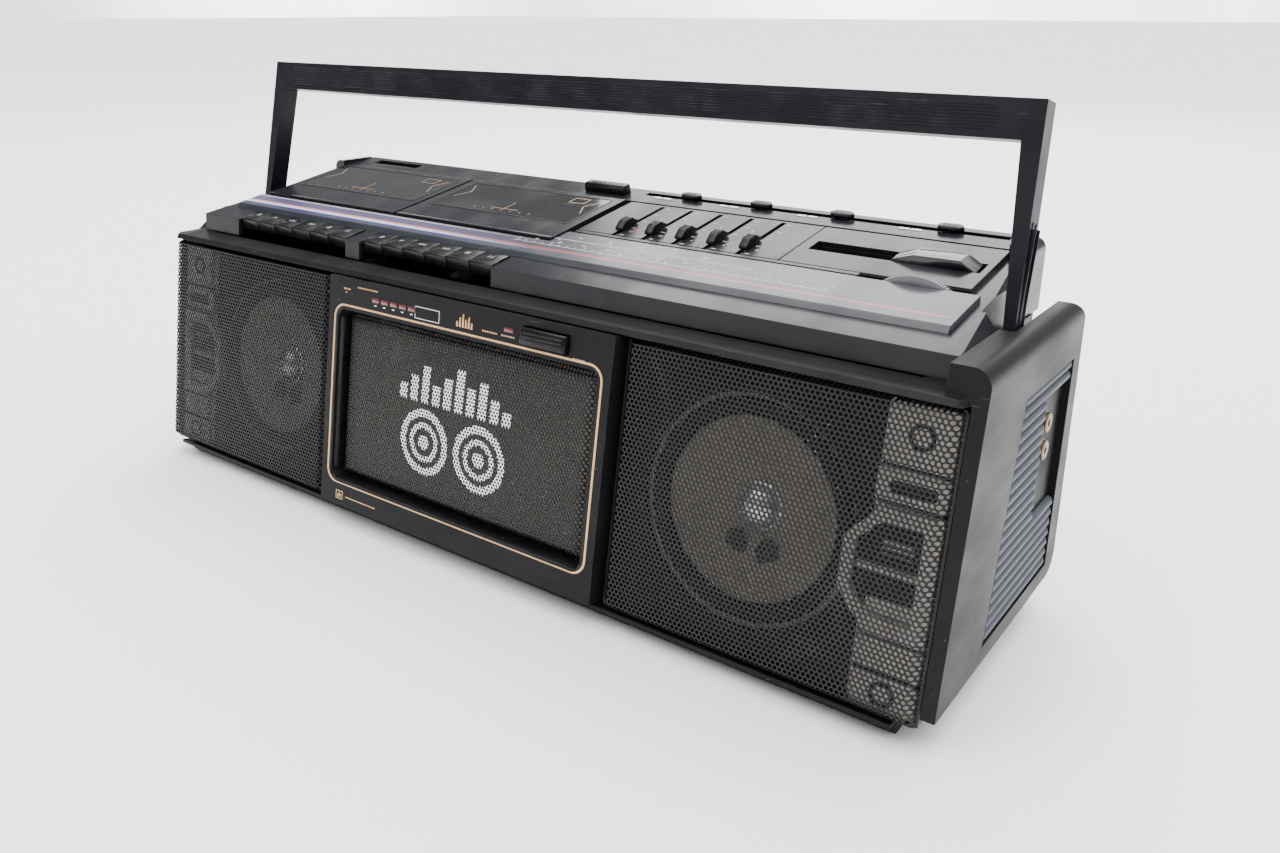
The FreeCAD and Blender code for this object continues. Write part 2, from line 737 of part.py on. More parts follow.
def top_deck():
    """The raised moulding that carries the doors, keys and controls."""
    level = "deck_level + ({0}) * tan(slope * 1 deg)"
    low = level + " - deck_step / cos(slope * 1 deg)"
    shell = prism([("step_foot", "visor_level + 1.5"),
                   ("step_front", low.format("step_front")),
                   ("rear_strip", low.format("rear_strip")),
                   ("rear_strip", level.format("rear_strip")),
                   ("deck_rear", level.format("deck_rear")),
                   ("deck_rear", "visor_level + 1.5")], "-deck_half", "deck_half")
    low = low + " - deck_plate"
    hollow = prism([("step_foot + wall", "visor_level"),
                    ("step_front + wall", low.format("step_front + wall")),
                    ("deck_rear - wall", low.format("deck_rear - wall")),
                    ("deck_rear - wall", "visor_level")], "-deck_hollow", "deck_hollow")
    trims = both_ends(lambda side: box(span(side, "deck_rear_half", "deck_half + 1"), (0, "deck_rear + 1"),
                                       ("visor_level", "deck_level + 40")))
    bevels = both_ends(deck_bevel)
    wells = [on_deck(box(door_run(centre, "door_gap + well_wall"),
                         ("door_front - door_gap - well_wall", "door_rear + door_gap + well_wall"),
                         ("-well_drop", f"{UNDER} + 1"))) for _, centre in DOORS]
    mouths = [on_deck(box(door_run(centre, "door_gap"), ("door_front - door_gap", "door_rear + door_gap"),
                          ("-well_drop - 1", 5))) for _, centre in DOORS]
    banks = [on_deck(box((f"{bank} - 0.4", f"{bank} + 6 * key_pitch + 0.4"),
                         ("step_front - 12", "key_rear + 0.8"), (-14.5, 5)))
             for bank in ("keys_left", "keys_right")]
    slots = [on_deck(box((f"{x} - slot_width / 2", f"{x} + slot_width / 2"),
                         ("eq_slot_front", "eq_slot_rear"), (-10, 5))) for x in eq_places()]
    channel = on_deck(box(("channel_left", "channel_right"), ("channel_front", "channel_rear"),
                          (f"{UNDER} - 3", 5)))
    select = on_deck(box(("select_left", "select_right"), ("select_front", "select_rear"), (-12, 5)))
    wheel = on_deck(box(("wheel_x - wheel_radius - 1", "wheel_x + wheel_radius + 1"),
                        ("wheel_v - wheel_thick / 2 - 0.6", "wheel_v + wheel_thick / 2 + 0.6"),
                        ("-2 * wheel_radius - 5", 5)))
    pit_run = (f"{door_run('door_left_centre')[0]} - 3", f"{door_run('door_right_centre')[1]} + 3")
    pit = on_deck(box(pit_run, ("door_front - 3", "door_rear + 3"), ("-well_drop - 50", "-well_drop")))
    pointer = on_deck(box(("pointer_x - pointer_travel - 3", "pointer_x + 2 * pointer_travel + 3"),
                          (-21, -19), (-10, 5)))
    block = on_deck(box(("block_left - button_gap", "block_right + button_gap"),
                        ("block_front - button_gap", "block_rear + button_gap"), (-14, 5)))
    seam = on_deck(box(("strip_seam - seam_width / 2", "strip_seam + seam_width / 2"),
                       ("rear_strip", "deck_rear + 5"), ("-seam_width", 5)))
    ears = both_ends(lambda side: round_edges(
        box(span(side, "ear_inner", "deck_rear_half"), ("ear_front", "deck_rear"),
            ("cheek_high - 5", "ear_high")), "ear_round",
        lambda first, last: min(side * first.x, side * last.x) > number("deck_rear_half") - 1
        and min(first.z, last.z) > number("ear_high") - 1))
    recess = on_deck(box(("recess_left", "recess_right"), ("rear_strip + 10", "rear_strip + 18"), ("-2.5", 5)))
    outer = join(cut(shell, hollow, *trims, *bevels), *wells, *ears)
    whole = cut(outer, *mouths, *banks, *slots, channel, select, wheel, pit, pointer, block, recess, seam)
    return node("top_deck", whole)


def scale_panel():
    """The printed tuning-scale panel, an L that runs in front of the doors."""
    face = [("panel_front", STEP), ("panel_front + deck_step", 0), ("scale_rear", 0), ("scale_rear", STEP)]
    plate = prism(face, "-panel_half", "panel_half")
    doors = box(("-panel_half - 1", f"{door_run('door_right_centre')[1]} + door_gap"),
                ("door_front - door_gap - 0.8", "scale_rear + 1"), (-10, 5))
    wheel = box(("wheel_x - wheel_radius - 1", "wheel_x + wheel_radius + 1"),
                ("wheel_v - wheel_thick / 2 - 0.6", "scale_rear + 1"), (-10, 5))
    return node("scale_panel", on_deck(cut(plate, doors, wheel)))


def control_panel():
    """The equaliser and tuner panel behind the scale."""
    plate = box(("control_left", "control_right"), ("scale_rear + scale_gap", "control_rear"), (STEP, 0))
    slots = [box((f"{x} - slot_width / 2", f"{x} + slot_width / 2"), ("eq_slot_front", "eq_slot_rear"),
                 (-10, 5)) for x in eq_places()]
    select = box(("select_left", "select_right"), ("select_front", "select_rear"), (-10, 5))
    wheel = box(("wheel_x - wheel_radius - 1", "wheel_x + wheel_radius + 1"),
                ("scale_rear", "wheel_v + wheel_thick / 2 + 0.6"), (-10, 5))
    groove = box(("control_left - 1", "control_right + 1"),
                 ("control_groove - seam_width / 2", "control_groove + seam_width / 2"), ("-seam_width", 1))
    seam = box(("control_seam - seam_width / 2", "control_seam + seam_width / 2"),
               ("control_groove", "control_rear + 1"), ("-seam_width", 1))
    return node("control_panel", on_deck(cut(plate, *slots, select, wheel, groove, seam)))


def cassette_door(side, centre):
    """A lid with a window opening and the two rails that carry the cassette."""
    frame = box(door_run(centre), ("door_front", "door_rear"),
                ("door_raise - door_thick", "door_raise"))
    window = box(door_run(centre, "-glass_inset"), ("glass_front", "glass_rear"), (-10, 5))
    rails = [box(run, ("door_front + 4", "door_rear - 12"),
                 ("door_raise - door_thick - carrier_drop", "door_raise - door_thick + 0.5"))
             for run in ((f"{centre} - door_half + 1", f"{centre} - door_half + 1 + carrier_wall"),
                         (f"{centre} + door_half - 1 - carrier_wall", f"{centre} + door_half - 1"))]
    node(f"{side}_door", on_deck(join(cut(frame, window), *rails)))
    glass = box(door_run(centre, "-glass_inset"), ("glass_front", "glass_rear"),
                ("door_raise - 2", "door_raise"))
    node(f"{side}_door_window", on_deck(glass))


def eq_places():
    """The middle of each equaliser slot along X."""
    return [f"(eq_first + {index} * eq_pitch)" for index in range(5)]


def eq_slider(index, x):
    """A slider: a ridged cap over the slot and its stem through it."""
    cap = box((f"{x} - eq_knob_width / 2", f"{x} + eq_knob_width / 2"),
              ("eq_knob_v - eq_knob_length / 2", "eq_knob_v + eq_knob_length / 2"),
              ("0.4", "eq_knob_height"))
    stem = box((f"{x} - slot_width / 2 + slot_gap", f"{x} + slot_width / 2 - slot_gap"),
               ("eq_knob_v - 4", "eq_knob_v + 4"), (-12, 1))
    return node(f"eq_slider_{index + 1}", on_deck(join(cap, stem)))


REAR_KNOBS = ((53, "volume"), (104, "balance"), (158, "treble"), (223, "bass"))


def rear_knob(x, name):
    """A small knob that slides along the rear channel."""
    cap = box((f"{x} - rear_knob_length / 2", f"{x} + rear_knob_length / 2"),
              ("channel_front - 1", "channel_rear + 1.5"), ("0.4", 5))
    stem = box((f"{x} - 4", f"{x} + 4"), ("channel_front + slot_gap", "channel_rear - slot_gap"), (-10, 1))
    return node(f"{name}_slider", on_deck(join(cap, stem)))


def select_knob():
    """The wide knob that slides in the long slot at the right."""
    cap = box(("select_right - 2 - select_knob", "select_right - 2"),
              ("select_front + slot_gap", "select_rear - slot_gap"), (-8, 5))
    return node("band_selector", on_deck(cap))


def tuning_wheel():
    """A disc on edge whose rim stands out of its slot."""
    hub = "wheel_rise - wheel_radius"
    disc = rod("wheel_radius", "y", "wheel_v - wheel_thick / 2", "wheel_v + wheel_thick / 2",
               ("wheel_x", hub))
    axle = rod("2.5", "y", "wheel_v - wheel_thick / 2 - 6", "wheel_v + wheel_thick / 2 + 6",
               ("wheel_x", hub))
    return node("tuning_wheel", on_deck(join(disc, axle)))


def dial_pointer():
    """The pointer that runs along the tuning scale under the panel."""
    needle = box(("pointer_x - 0.8", "pointer_x + 0.8"), (-20.6, -19.4), (-9.5, -3.4))
    carriage = box(("pointer_x - 8", "pointer_x + 8"), (-24, -16), (-12, -9))
    return node("dial_pointer", on_deck(join(needle, carriage)))


def piano_key(label, bank, index):
    """A deck key, pressed down at its front edge."""
    cap = box(key_run(bank, index, "key_gap"), ("key_front", "key_rear"), ("key_top - key_thick", "key_top"))
    return node(label, on_deck(cap))


def block_button():
    """The raised block on the rear strip."""
    cap = box(("block_left", "block_right"), ("block_front", "block_rear"), ("-9", "block_height"))
    return node("mode_button", on_deck(cap))


# ---------------------------------------------------------------- tape transport
PLATE_TOP = "-well_drop"
PLATE_LOW = "(-well_drop - chassis_thick)"


def spindle_places(centre):
    """The two spindles of one deck along X."""
    return [("supply", f"({centre} - spindle_pitch / 2)"), ("takeup", f"({centre} + spindle_pitch / 2)")]


def tape_chassis():
    """The steel plate that closes both wells, with heads and rollers on it."""
    plate = box((f"{door_run('door_left_centre')[0]} - 2", f"{door_run('door_right_centre')[1]} + 2"),
                ("door_front - 2", "door_rear + 2"), (PLATE_LOW, PLATE_TOP))
    bores = []
    fittings = []
    for _, centre in DOORS:
        for _, x in spindle_places(centre):
            bores.append(rod("spindle_radius + bearing_gap", "z", -60, -5, (x, "spindle_v")))
        bores.append(rod("capstan_radius + bearing_gap", "z", -60, -5,
                         (f"{centre} + capstan_offset", "flywheel_v")))
        fittings.append(box((f"{centre} - 7", f"{centre} + 7"), (1, 12), (f"{PLATE_TOP} - 0.5", -15)))
        fittings.append(rod("5", "z", f"{PLATE_TOP} - 0.5", -15, (f"{centre} + capstan_offset + 9", 12)))
    return node("tape_chassis", on_deck(cut(join(plate, *fittings), *bores)))


def reel_spindle(deck, name, x):
    """A splined spindle with its gear below the plate."""
    shaft = rod("spindle_radius", "z", f"{PLATE_LOW} - 6", "spindle_high", (x, "spindle_v"))
    table = rod("10", "z", f"{PLATE_TOP} + 0.5", f"{PLATE_TOP} + 2.5", (x, "spindle_v"))
    gear = rod("reel_gear", "z", f"{PLATE_LOW} - 5", f"{PLATE_LOW} - 2", (x, "spindle_v"))
    fins = [box((f"{x} - 4.2", f"{x} + 4.2"), ("spindle_v - 0.6", "spindle_v + 0.6"),
                (f"{PLATE_TOP} + 2", "spindle_high - 1"))]
    return node(f"{deck}_{name}_spindle", on_deck(join(shaft, table, gear, *fins)))


def flywheel(deck, centre):
    """A flywheel and its capstan."""
    x = f"{centre} + capstan_offset"
    wheel = rod("flywheel_radius", "z", f"{PLATE_LOW} - 9 - flywheel_thick", f"{PLATE_LOW} - 9",
                (x, "flywheel_v"))
    shaft = rod("capstan_radius", "z", f"{PLATE_LOW} - 9.5", "spindle_high", (x, "flywheel_v"))
    return node(f"{deck}_flywheel", on_deck(join(wheel, shaft)))


def capstan_motor():
    """The motor that hangs under the chassis between the decks."""
    middle = "(door_left_centre + door_right_centre) / 2"
    can = rod("motor_radius", "z", f"{PLATE_LOW} - motor_length", PLATE_LOW, (middle, "motor_v"))
    pulley = rod("6", "z", f"{PLATE_LOW} - motor_length - 6", f"{PLATE_LOW} - motor_length + 0.5",
                 (middle, "motor_v"))
    return node("capstan_motor", on_deck(join(can, pulley)))


# ---------------------------------------------------------------- handle, rear and inside
def handle():
    """The carrying handle: bar, two splayed arms and the stubs that they turn on."""
    under = "handle_reach - handle_bar"
    yoke = bar([("-handle_foot_outer", "-handle_tail"), ("-handle_top_outer", "handle_reach"),
                ("handle_top_outer", "handle_reach"), ("handle_foot_outer", "-handle_tail"),
                ("handle_foot_inner", "-handle_tail"), ("handle_top_inner", under),
                ("-handle_top_inner", under), ("-handle_foot_inner", "-handle_tail")],
               "-handle_depth / 2", "handle_depth / 2")
    stubs = both_ends(lambda side: rod("pivot_radius", "x",
                                       *span(side, "handle_foot_outer - 2", "half_length - 3.5"), (0, 0)))
    whole = join(yoke, *stubs)
    put(whole, y="pivot_y", z="pivot_z", angle="handle_lean", axis=FreeCAD.Vector(-1, 0, 0))
    return node("handle", whole)


def battery_hatch():
    """The cover of the battery bay."""
    lid = box(("-bay_half + bay_gap", "bay_half - bay_gap"),
              ("rear_face - hatch_thick", "rear_face"), ("bay_low + bay_gap", "bay_high - bay_gap"))
    return node("battery_hatch", lid)


def circuit_board():
    """The main board with its heatsink, standing on the battery bay."""
    board = box(("board_left", "board_right"), ("board_front", "board_rear"),
                ("board_level", "board_level + board_thick"))
    sink = box(("board_right - 60", "board_right - 5"), ("board_rear - 30", "board_rear - 5"),
               ("board_level", "board_level + 18"))
    posts = [rod("3", "z", "bay_high + bay_wall", "board_level + 0.5", (x, "rear_face - bay_depth / 2"))
             for x in ("-bay_half + 10", "bay_half - 10")]
    return node("circuit_board", join(board, sink, *posts))


def power_transformer():
    """The mains transformer on the cabinet's floor."""
    core = box(("transformer_left", "transformer_right"), ("transformer_front", "transformer_rear"),
               ("plinth_top + wall", "transformer_high - 8"))
    coil = box(("transformer_left + 10", "transformer_right - 10"),
               ("transformer_front + 8", "transformer_rear - 8"),
               ("plinth_top + wall + 2", "transformer_high"))
    return node("power_transformer", join(core, coil))


def jack_plate():
    """The plate in the end pocket, with two round jacks through it."""
    inner = "half_length - jack_depth"
    plate = box((inner, f"{inner} + jack_plate"), ("jack_front", "jack_rear"), ("jack_low", "jack_high"))
    outer = f"{inner} + jack_plate + jack_proud"
    bodies = [rod("jack_radius", "x", f"{inner} - jack_body", outer, spot) for spot in jack_spots()]
    bores = [rod("jack_bore", "x", f"{inner} - jack_body + 0.5", f"{outer} + 1", spot)
             for spot in jack_spots()]
    return node("jack_plate", cut(join(plate, *bodies), *bores))


def build():
    """Makes every sub-part."""
    front_cabinet()
    rear_cabinet()
    case_screws()
    base_plinth()
    rubber_feet()
    speaker_grille(-1, "left_grille")
    speaker_grille(1, "right_grille")
    speaker("left_speaker", "-driver_x", "driver_hole", "driver_rim", "cone_radius", "magnet_radius",
            "driver_depth")
    speaker("right_speaker", "driver_x", "driver_hole", "driver_rim", "cone_radius", "magnet_radius",
            "driver_depth")
    speaker("woofer", "0", "woofer_hole", "woofer_rim", "(cone_radius + 6)", "(magnet_radius + 6)",
            "(driver_depth + 8)")
    tweeter_strip(-1, "left_tweeter_strip")
    tweeter_strip(1, "right_tweeter_strip")
    front_bezel()
    woofer_grille()
    push_button()
    top_deck()
    scale_panel()
    control_panel()
    for side, centre in DOORS:
        cassette_door(side, centre)
    for index, x in enumerate(eq_places()):
        eq_slider(index, x)
    for x, name in REAR_KNOBS:
        rear_knob(x, name)
    select_knob()
    tuning_wheel()
    dial_pointer()
    for side, bank in (("left", "keys_left"), ("right", "keys_right")):
        for index in range(6):
            piano_key(f"{side}_key_{index + 1}", bank, index)
    block_button()
    tape_chassis()
    for deck, centre in DOORS:
        for name, x in spindle_places(centre):
            reel_spindle(deck, name, x)
        flywheel(deck, centre)
    capstan_motor()
    handle()
    battery_hatch()
    circuit_board()
    power_transformer()
    jack_plate()


def export():
    """Checks the document and writes one STEP file for each sub-part."""
    DOC.recompute()
    for thing in DOC.Objects:
        if "Invalid" in thing.State or "Error" in thing.State:
            raise RuntimeError(f"{thing.Name} ({thing.Label}) did not build: {thing.State}")
    for thing in NODES:
        if thing.Shape.isNull() or not thing.Shape.isValid():
            raise RuntimeError(f"{thing.Label} has no valid shape")
    os.makedirs("parts", exist_ok=True)
    for thing in NODES:
        thing.Shape.exportStep(os.path.join("parts", f"{thing.Label}.step"))
    print(len(NODES), "sub-parts written")


build()
export()
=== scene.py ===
"""Twin-cassette portable stereo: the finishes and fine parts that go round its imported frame."""
import json
import math

import bmesh
import bpy
from bpy.props import FloatProperty, FloatVectorProperty, IntProperty, PointerProperty
from mathutils import Matrix, Vector


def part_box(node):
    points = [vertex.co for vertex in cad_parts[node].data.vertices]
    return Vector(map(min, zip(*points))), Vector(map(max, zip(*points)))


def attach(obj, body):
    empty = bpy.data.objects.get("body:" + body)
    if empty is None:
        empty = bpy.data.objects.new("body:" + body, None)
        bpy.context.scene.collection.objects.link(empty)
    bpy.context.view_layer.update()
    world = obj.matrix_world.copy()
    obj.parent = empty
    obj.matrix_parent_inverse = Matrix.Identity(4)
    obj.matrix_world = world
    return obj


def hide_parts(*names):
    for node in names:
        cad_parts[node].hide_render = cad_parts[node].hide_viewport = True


bl_info = {
    "name": "Cassette Stereo",
    "version": (1, 0, 0),
    "blender": (4, 5, 0),
    "location": "View3D > Sidebar > Stereo",
    "description": "Finishes and fine parts of a portable twin-cassette stereo",
    "category": "Object",
}

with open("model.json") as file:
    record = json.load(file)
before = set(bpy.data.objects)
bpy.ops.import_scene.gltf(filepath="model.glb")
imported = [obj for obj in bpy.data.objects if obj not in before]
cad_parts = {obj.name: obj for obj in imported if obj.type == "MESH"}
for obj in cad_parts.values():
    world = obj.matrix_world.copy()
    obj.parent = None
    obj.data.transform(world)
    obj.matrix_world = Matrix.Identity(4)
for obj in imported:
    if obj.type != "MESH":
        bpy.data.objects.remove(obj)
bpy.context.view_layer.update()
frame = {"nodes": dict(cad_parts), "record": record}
NODES = frame["nodes"]
MM = 0.001

# The slopes and levels that the frame was drawn to: degrees and millimetres
LEAN, SLOPE = math.radians(9.8), math.radians(9.7)
FRONT_FOOT, DECK_LEVEL = -91.3, 185.8
BEZEL_FACE = -6.0          # the centre panel's face, in front of the front plane
DOOR_CENTRES = {"left": -193.7, "right": -54.6}
KEY_BANKS = {"left": -240.0, "right": -111.0}
DRIVERS = {"left": -189.0, "right": 189.0}
DRIVER_HEIGHT = 85.0
SIDES = {"left": -1, "right": 1}
EQ_KNOB = 30.0             # how far up the slope the equaliser's knobs rest
SELECT_RUN = (36.5, 49.5)  # the band selector's slot, up the slope
INK_LEVELS = (-0.02, 0.05)  # the underside and top of a mark printed on the deck
END_FACE = 300.0           # the outer face of each end cheek
SEAM_FOOT, SEAM_SLOPE = -39.3, math.tan(math.radians(11.0))  # where the two cabinets meet on the ends
PIVOT, HANDLE_LEAN = (0, 12.0, 165.0), math.radians(12.0)
CAMERA_PLACE = (0.4263, -0.4769, 0.3159)
CAMERA_YAW, CAMERA_PITCH, CAMERA_ROLL = (math.radians(a) for a in (36.38, 19.245, 0.08))

# In each of these, millimetres become metres. FRONT: X, depth behind the front plane, height up it.
# DECK: X, distance up the slope, height square to it. BODY: the machine's own axes.
BODY = Matrix.Diagonal((MM, MM, MM, 1))
FRONT = BODY @ Matrix.Translation((0, FRONT_FOOT, 0)) @ Matrix.Rotation(-LEAN, 4, "X")
DECK = BODY @ Matrix.Translation((0, 0, DECK_LEVEL)) @ Matrix.Rotation(SLOPE, 4, "X")


# ------------------------------------------------------------------ sizes and colours
def length(name, description, default):
    """A length that a user may change, in metres."""
    return FloatProperty(name=name, description=description, default=default, subtype="DISTANCE",
                         unit="LENGTH", min=0)


def colour(name, description, default):
    """A colour that a user may change."""
    return FloatVectorProperty(name=name, description=description, default=default, size=3,
                               subtype="COLOR", min=0, max=1)


class StereoSizes(bpy.types.PropertyGroup):
    """Sizes of the fine parts."""
    mesh_pitch: length("Grille pitch", "Distance between holes of the side grilles", 0.0027)
    mesh_open: FloatProperty(name="Grille opening", default=0.40, min=0.1, max=0.48, subtype="FACTOR",
                             description="Hole radius as a share of the pitch")
    woofer_pitch: length("Woofer grille pitch", "Distance between holes of the centre grille", 0.0023)
    fin_pitch: length("Louvre pitch", "Distance between the fins on the end cheeks", 0.00595)
    rib_pitch: length("Handle rib pitch", "Distance between the ribs on the handle", 0.0016)
    gold_width: length("Gold line", "Width of the line round the centre grille", 0.0013)
    knurls: IntProperty(name="Knurls", description="Ridges on the tuning wheel", default=120, min=12)


class StereoColours(bpy.types.PropertyGroup):
    """Colours of the finishes."""
    charcoal: colour("Charcoal", "Cabinet plastic", (0.0085, 0.0085, 0.0095))
    deck: colour("Deck", "Glossy top panels", (0.010, 0.011, 0.0135))
    black: colour("Black", "Keys and knobs", (0.0030, 0.0032, 0.0040))
    handle: colour("Handle", "Carrying handle", (0.0035, 0.0042, 0.0070))
    cone: colour("Cone", "Paper cones", (0.30, 0.265, 0.225))
    trim: colour("Trim", "Plastic strips beside the speakers", (0.50, 0.46, 0.42))
    gold: colour("Gold", "Lines and marks on the centre panel", (0.62, 0.40, 0.20))
    fins: colour("Fins", "Louvre fins on the end cheeks", (0.060, 0.065, 0.082))
    print: colour("Print", "Pale printed marks", (0.72, 0.72, 0.74))
    red: colour("Red", "Red line and lamps", (0.55, 0.055, 0.07))


def sizes():
    """The sizes in the scene, in millimetres where they are lengths."""
    return bpy.context.scene.stereo_sizes


def tint(name):
    """A colour from the scene, as a tuple of four."""
    return tuple(getattr(bpy.context.scene.stereo_colours, name)) + (1.0,)


# ------------------------------------------------------------------ shader maths
def add_node(tree, kind, inputs=(), output=0, **settings):
    """A node of that type: settings first, then its sockets' values or links, by name or number."""
    made = tree.nodes.new(kind)
    for key, value in settings.items():
        setattr(made, key, value)
    for key, value in (inputs.items() if isinstance(inputs, dict) else enumerate(inputs)):
        value = getattr(value, "socket", value)
        if isinstance(value, bpy.types.NodeSocket):
            tree.links.new(value, made.inputs[key])
        else:
            made.inputs[key].default_value = value
    return made.outputs[output]


class Field:
    """A shader socket that Python's operators work on."""

    def __init__(self, paint, socket):
        self.paint, self.socket = paint, socket

    def maths(self, operation, *others):
        """This value and others through one Math node."""
        return self.paint.node("ShaderNodeMath", {"operation": operation}, [self, *others])

    def __add__(self, other):
        return self.maths("ADD", other)

    def __sub__(self, other):
        return self.maths("SUBTRACT", other)

    def __mul__(self, other):
        return self.maths("MULTIPLY", other)

    def __rsub__(self, other):
        return self.paint.node("ShaderNodeMath", {"operation": "SUBTRACT"}, [other, self])

    __radd__, __rmul__ = __add__, __mul__

    def between(self, low, high):
        """0 below low, 1 above high and smooth between them."""
        return self.paint.node("ShaderNodeMapRange", {"interpolation_type": "SMOOTHSTEP"},
                               {"Value": self, "From Min": low, "From Max": high})

    def band(self, low, high, soft):
        """1 from low to high and 0 outside, with soft edges."""
        return self.between(low - soft, low + soft) * (1 - self.between(high - soft, high + soft))


class Paint:
    """One node material, made from expressions."""
    MIX_SOCKETS = {"RGBA": (6, 7, 2), "VECTOR": (4, 5, 1)}

    def __init__(self, name):
        self.material = bpy.data.materials.new(name)
        self.material.use_nodes = True
        self.tree = self.material.node_tree
        self.shader = self.tree.nodes["Principled BSDF"]
        self.place = self.node("ShaderNodeTexCoord", {}, {}, "Object")

    def node(self, kind, settings, inputs, output=0):
        """A node of that type, as a field."""
        return Field(self, add_node(self.tree, kind, inputs, output, **settings))

    def mix(self, first, second, factor, kind="RGBA"):
        """first where factor is 0 and second where it is 1."""
        a, b, out = self.MIX_SOCKETS[kind]
        return self.node("ShaderNodeMix", {"data_type": kind}, {0: factor, a: first, b: second}, out)

    def axes(self):
        """Object coordinates as three numbers in millimetres."""
        split = self.node("ShaderNodeSeparateXYZ", {}, [self.place])
        outputs = split.socket.node.outputs
        return [Field(self, outputs[i]) * (1 / MM) for i in range(3)]

    def mapped(self, scale, turn=(0, 0, 0)):
        """Object coordinates, turned and stretched."""
        return self.node("ShaderNodeMapping", {}, {"Vector": self.place, "Rotation": turn, "Scale": scale})

    def noise(self, scale, detail=2.0, stretch=(1, 1, 1), turn=(0, 0, 0), twist=0.0):
        """Smooth noise from 0 to 1; scale is in cells per metre."""
        return self.node("ShaderNodeTexNoise", {},
                         {"Vector": self.mapped(stretch, turn), "Scale": scale, "Detail": detail,
                          "Distortion": twist})

    def specks(self, scale, size):
        """1 in small round spots, scale of them per metre."""
        spot = self.node("ShaderNodeTexVoronoi", {"feature": "F1"}, {"Vector": self.place, "Scale": scale})
        return 1 - spot.between(size * 0.5, size)

    def scratches(self, density=1.0):
        """Fine lines at three angles, broken up."""
        lines = None
        for turn, scale in ((0.35, 26), (-0.8, 34), (1.9, 19)):
            line = self.noise(scale * 2.2, 3.0, (1, 18, 18), (turn * 0.6, turn * 0.3, turn), 0.3)
            cut = line.between(0.705 - 0.02 * density, 0.73)
            lines = cut if lines is None else lines.maths("MAXIMUM", cut)
        return lines * self.noise(27, 2.0).between(0.50, 0.66)

    def edges(self, radius):
        """(mask that is 1 on sharp edges, normal rounded by that radius in metres)."""
        round_off = self.node("ShaderNodeBevel", {"samples": 4}, {"Radius": radius})
        flat = self.node("ShaderNodeNewGeometry", {}, {}, "Normal")
        turn = self.node("ShaderNodeVectorMath", {"operation": "DOT_PRODUCT"}, [round_off, flat], "Value")
        return 1 - turn.between(0.80, 0.995), round_off

    def bump(self, height, strength, distance, normal=None):
        """A normal from a height field; distance is in metres."""
        inputs = {"Height": height, "Strength": strength, "Distance": distance}
        if normal is not None:
            inputs["Normal"] = normal
        return self.node("ShaderNodeBump", {}, inputs)

    def done(self, **sockets):
        """Sets or links the shader's sockets, named with _ for a space, and gives the material."""
        for key, value in sockets.items():
            socket = self.shader.inputs[key.replace("_", " ")]
            if isinstance(value, Field):
                self.tree.links.new(value.socket, socket)
            else:
                socket.default_value = value
        return self.material


def shade(base, factor):
    """A colour made lighter or darker."""
    return tuple(min(1.0, c * factor) for c in base[:3]) + (1.0,)


DUST = (0.22, 0.22, 0.23, 1.0)


def moulded(name, base, rough, grain=0.10, wear=1.0, dust=1.0, gloss=0.0, edge=0.0006, overlay=None,
            shine=0.22):
    """Moulded plastic with a fine grain, handling marks, scratches, dust and paler edges."""
    p = Paint(name)
    worn, normal = p.edges(edge)
    cloud = p.noise(13, 4.0, twist=0.4)
    smear = p.noise(38, 3.0, (1, 0.35, 1), (0, 0, 0.4))
    marks = p.scratches(wear)
    fine = p.noise(2300, 1.0)
    base_field = p.mix(shade(base, 0.82), shade(base, 1.22), cloud)
    if overlay:
        base_field = overlay(p, base_field)
    scuffed = marks * (0.16 * wear)
    rub = worn * p.noise(90, 3.0).between(0.40, 0.75) * (0.20 * wear)
    base_field = p.mix(base_field, DUST, scuffed.maths("MAXIMUM", rub))
    if dust:
        lying = p.specks(150, 0.09) * p.noise(17, 2.0).between(0.45, 0.7) * (0.40 * dust)
        film = p.noise(9, 5.0, twist=0.8).between(0.52, 0.82) * (0.035 * dust)
        base_field = p.mix(base_field, DUST, lying.maths("MAXIMUM", film))
    rough_field = (smear.between(0.3, 0.75) * 0.16 + marks * 0.18 + (rough - 0.06)) + fine * 0.05
    bumped = p.bump(fine + marks * -0.6, grain, 0.0002, normal)
    return p.done(Base_Color=base_field, Roughness=rough_field, Normal=bumped,
                  Coat_Weight=gloss, Coat_Roughness=0.12, IOR=1.5, Specular_IOR_Level=shine)


def metal(name, base, rough, brush=(1, 1, 1), edge=0.0003, tarnish=0.5):
    """Bare or plated metal with brushing and dull patches."""
    p = Paint(name)
    _, normal = p.edges(edge)
    grain = p.noise(900, 2.0, brush)
    dull = p.noise(60, 4.0, twist=0.5).between(0.45, 0.75) * tarnish
    return p.done(Base_Color=p.mix(base, shade(base, 0.45), dull), Metallic=1.0,
                  Roughness=grain * 0.18 + dull * 0.25 + (rough - 0.05),
                  Normal=p.bump(grain, 0.12, 0.0002, normal))


def smoked_glass(name, alpha, haze):
    """Dark clear plastic with hairline scratches and a dusty bloom, and a painted sheen that makes the left
    door's window lighter.
    """
    p = Paint(name)
    marks = p.scratches(1.6)
    bloom = p.noise(11, 4.0, twist=0.7).between(0.42, 0.72)
    x, _, _ = p.axes()
    # Painted sheen: the window of the left door, left of X = -118 mm, is made lighter grey. cloud mixes the
    # dusty bloom with this painted sheen.
    side = 1 - x.between(-130, -118)
    cloud = bloom * haze + side * 0.06
    base = p.mix((0.012, 0.013, 0.015, 1), (0.24, 0.25, 0.27, 1), cloud + marks * 0.25)
    return p.done(Base_Color=base, Roughness=bloom * 0.10 + marks * 0.3 + 0.07, Alpha=alpha, IOR=1.49,
                  Coat_Weight=0.3, Coat_Roughness=0.05)


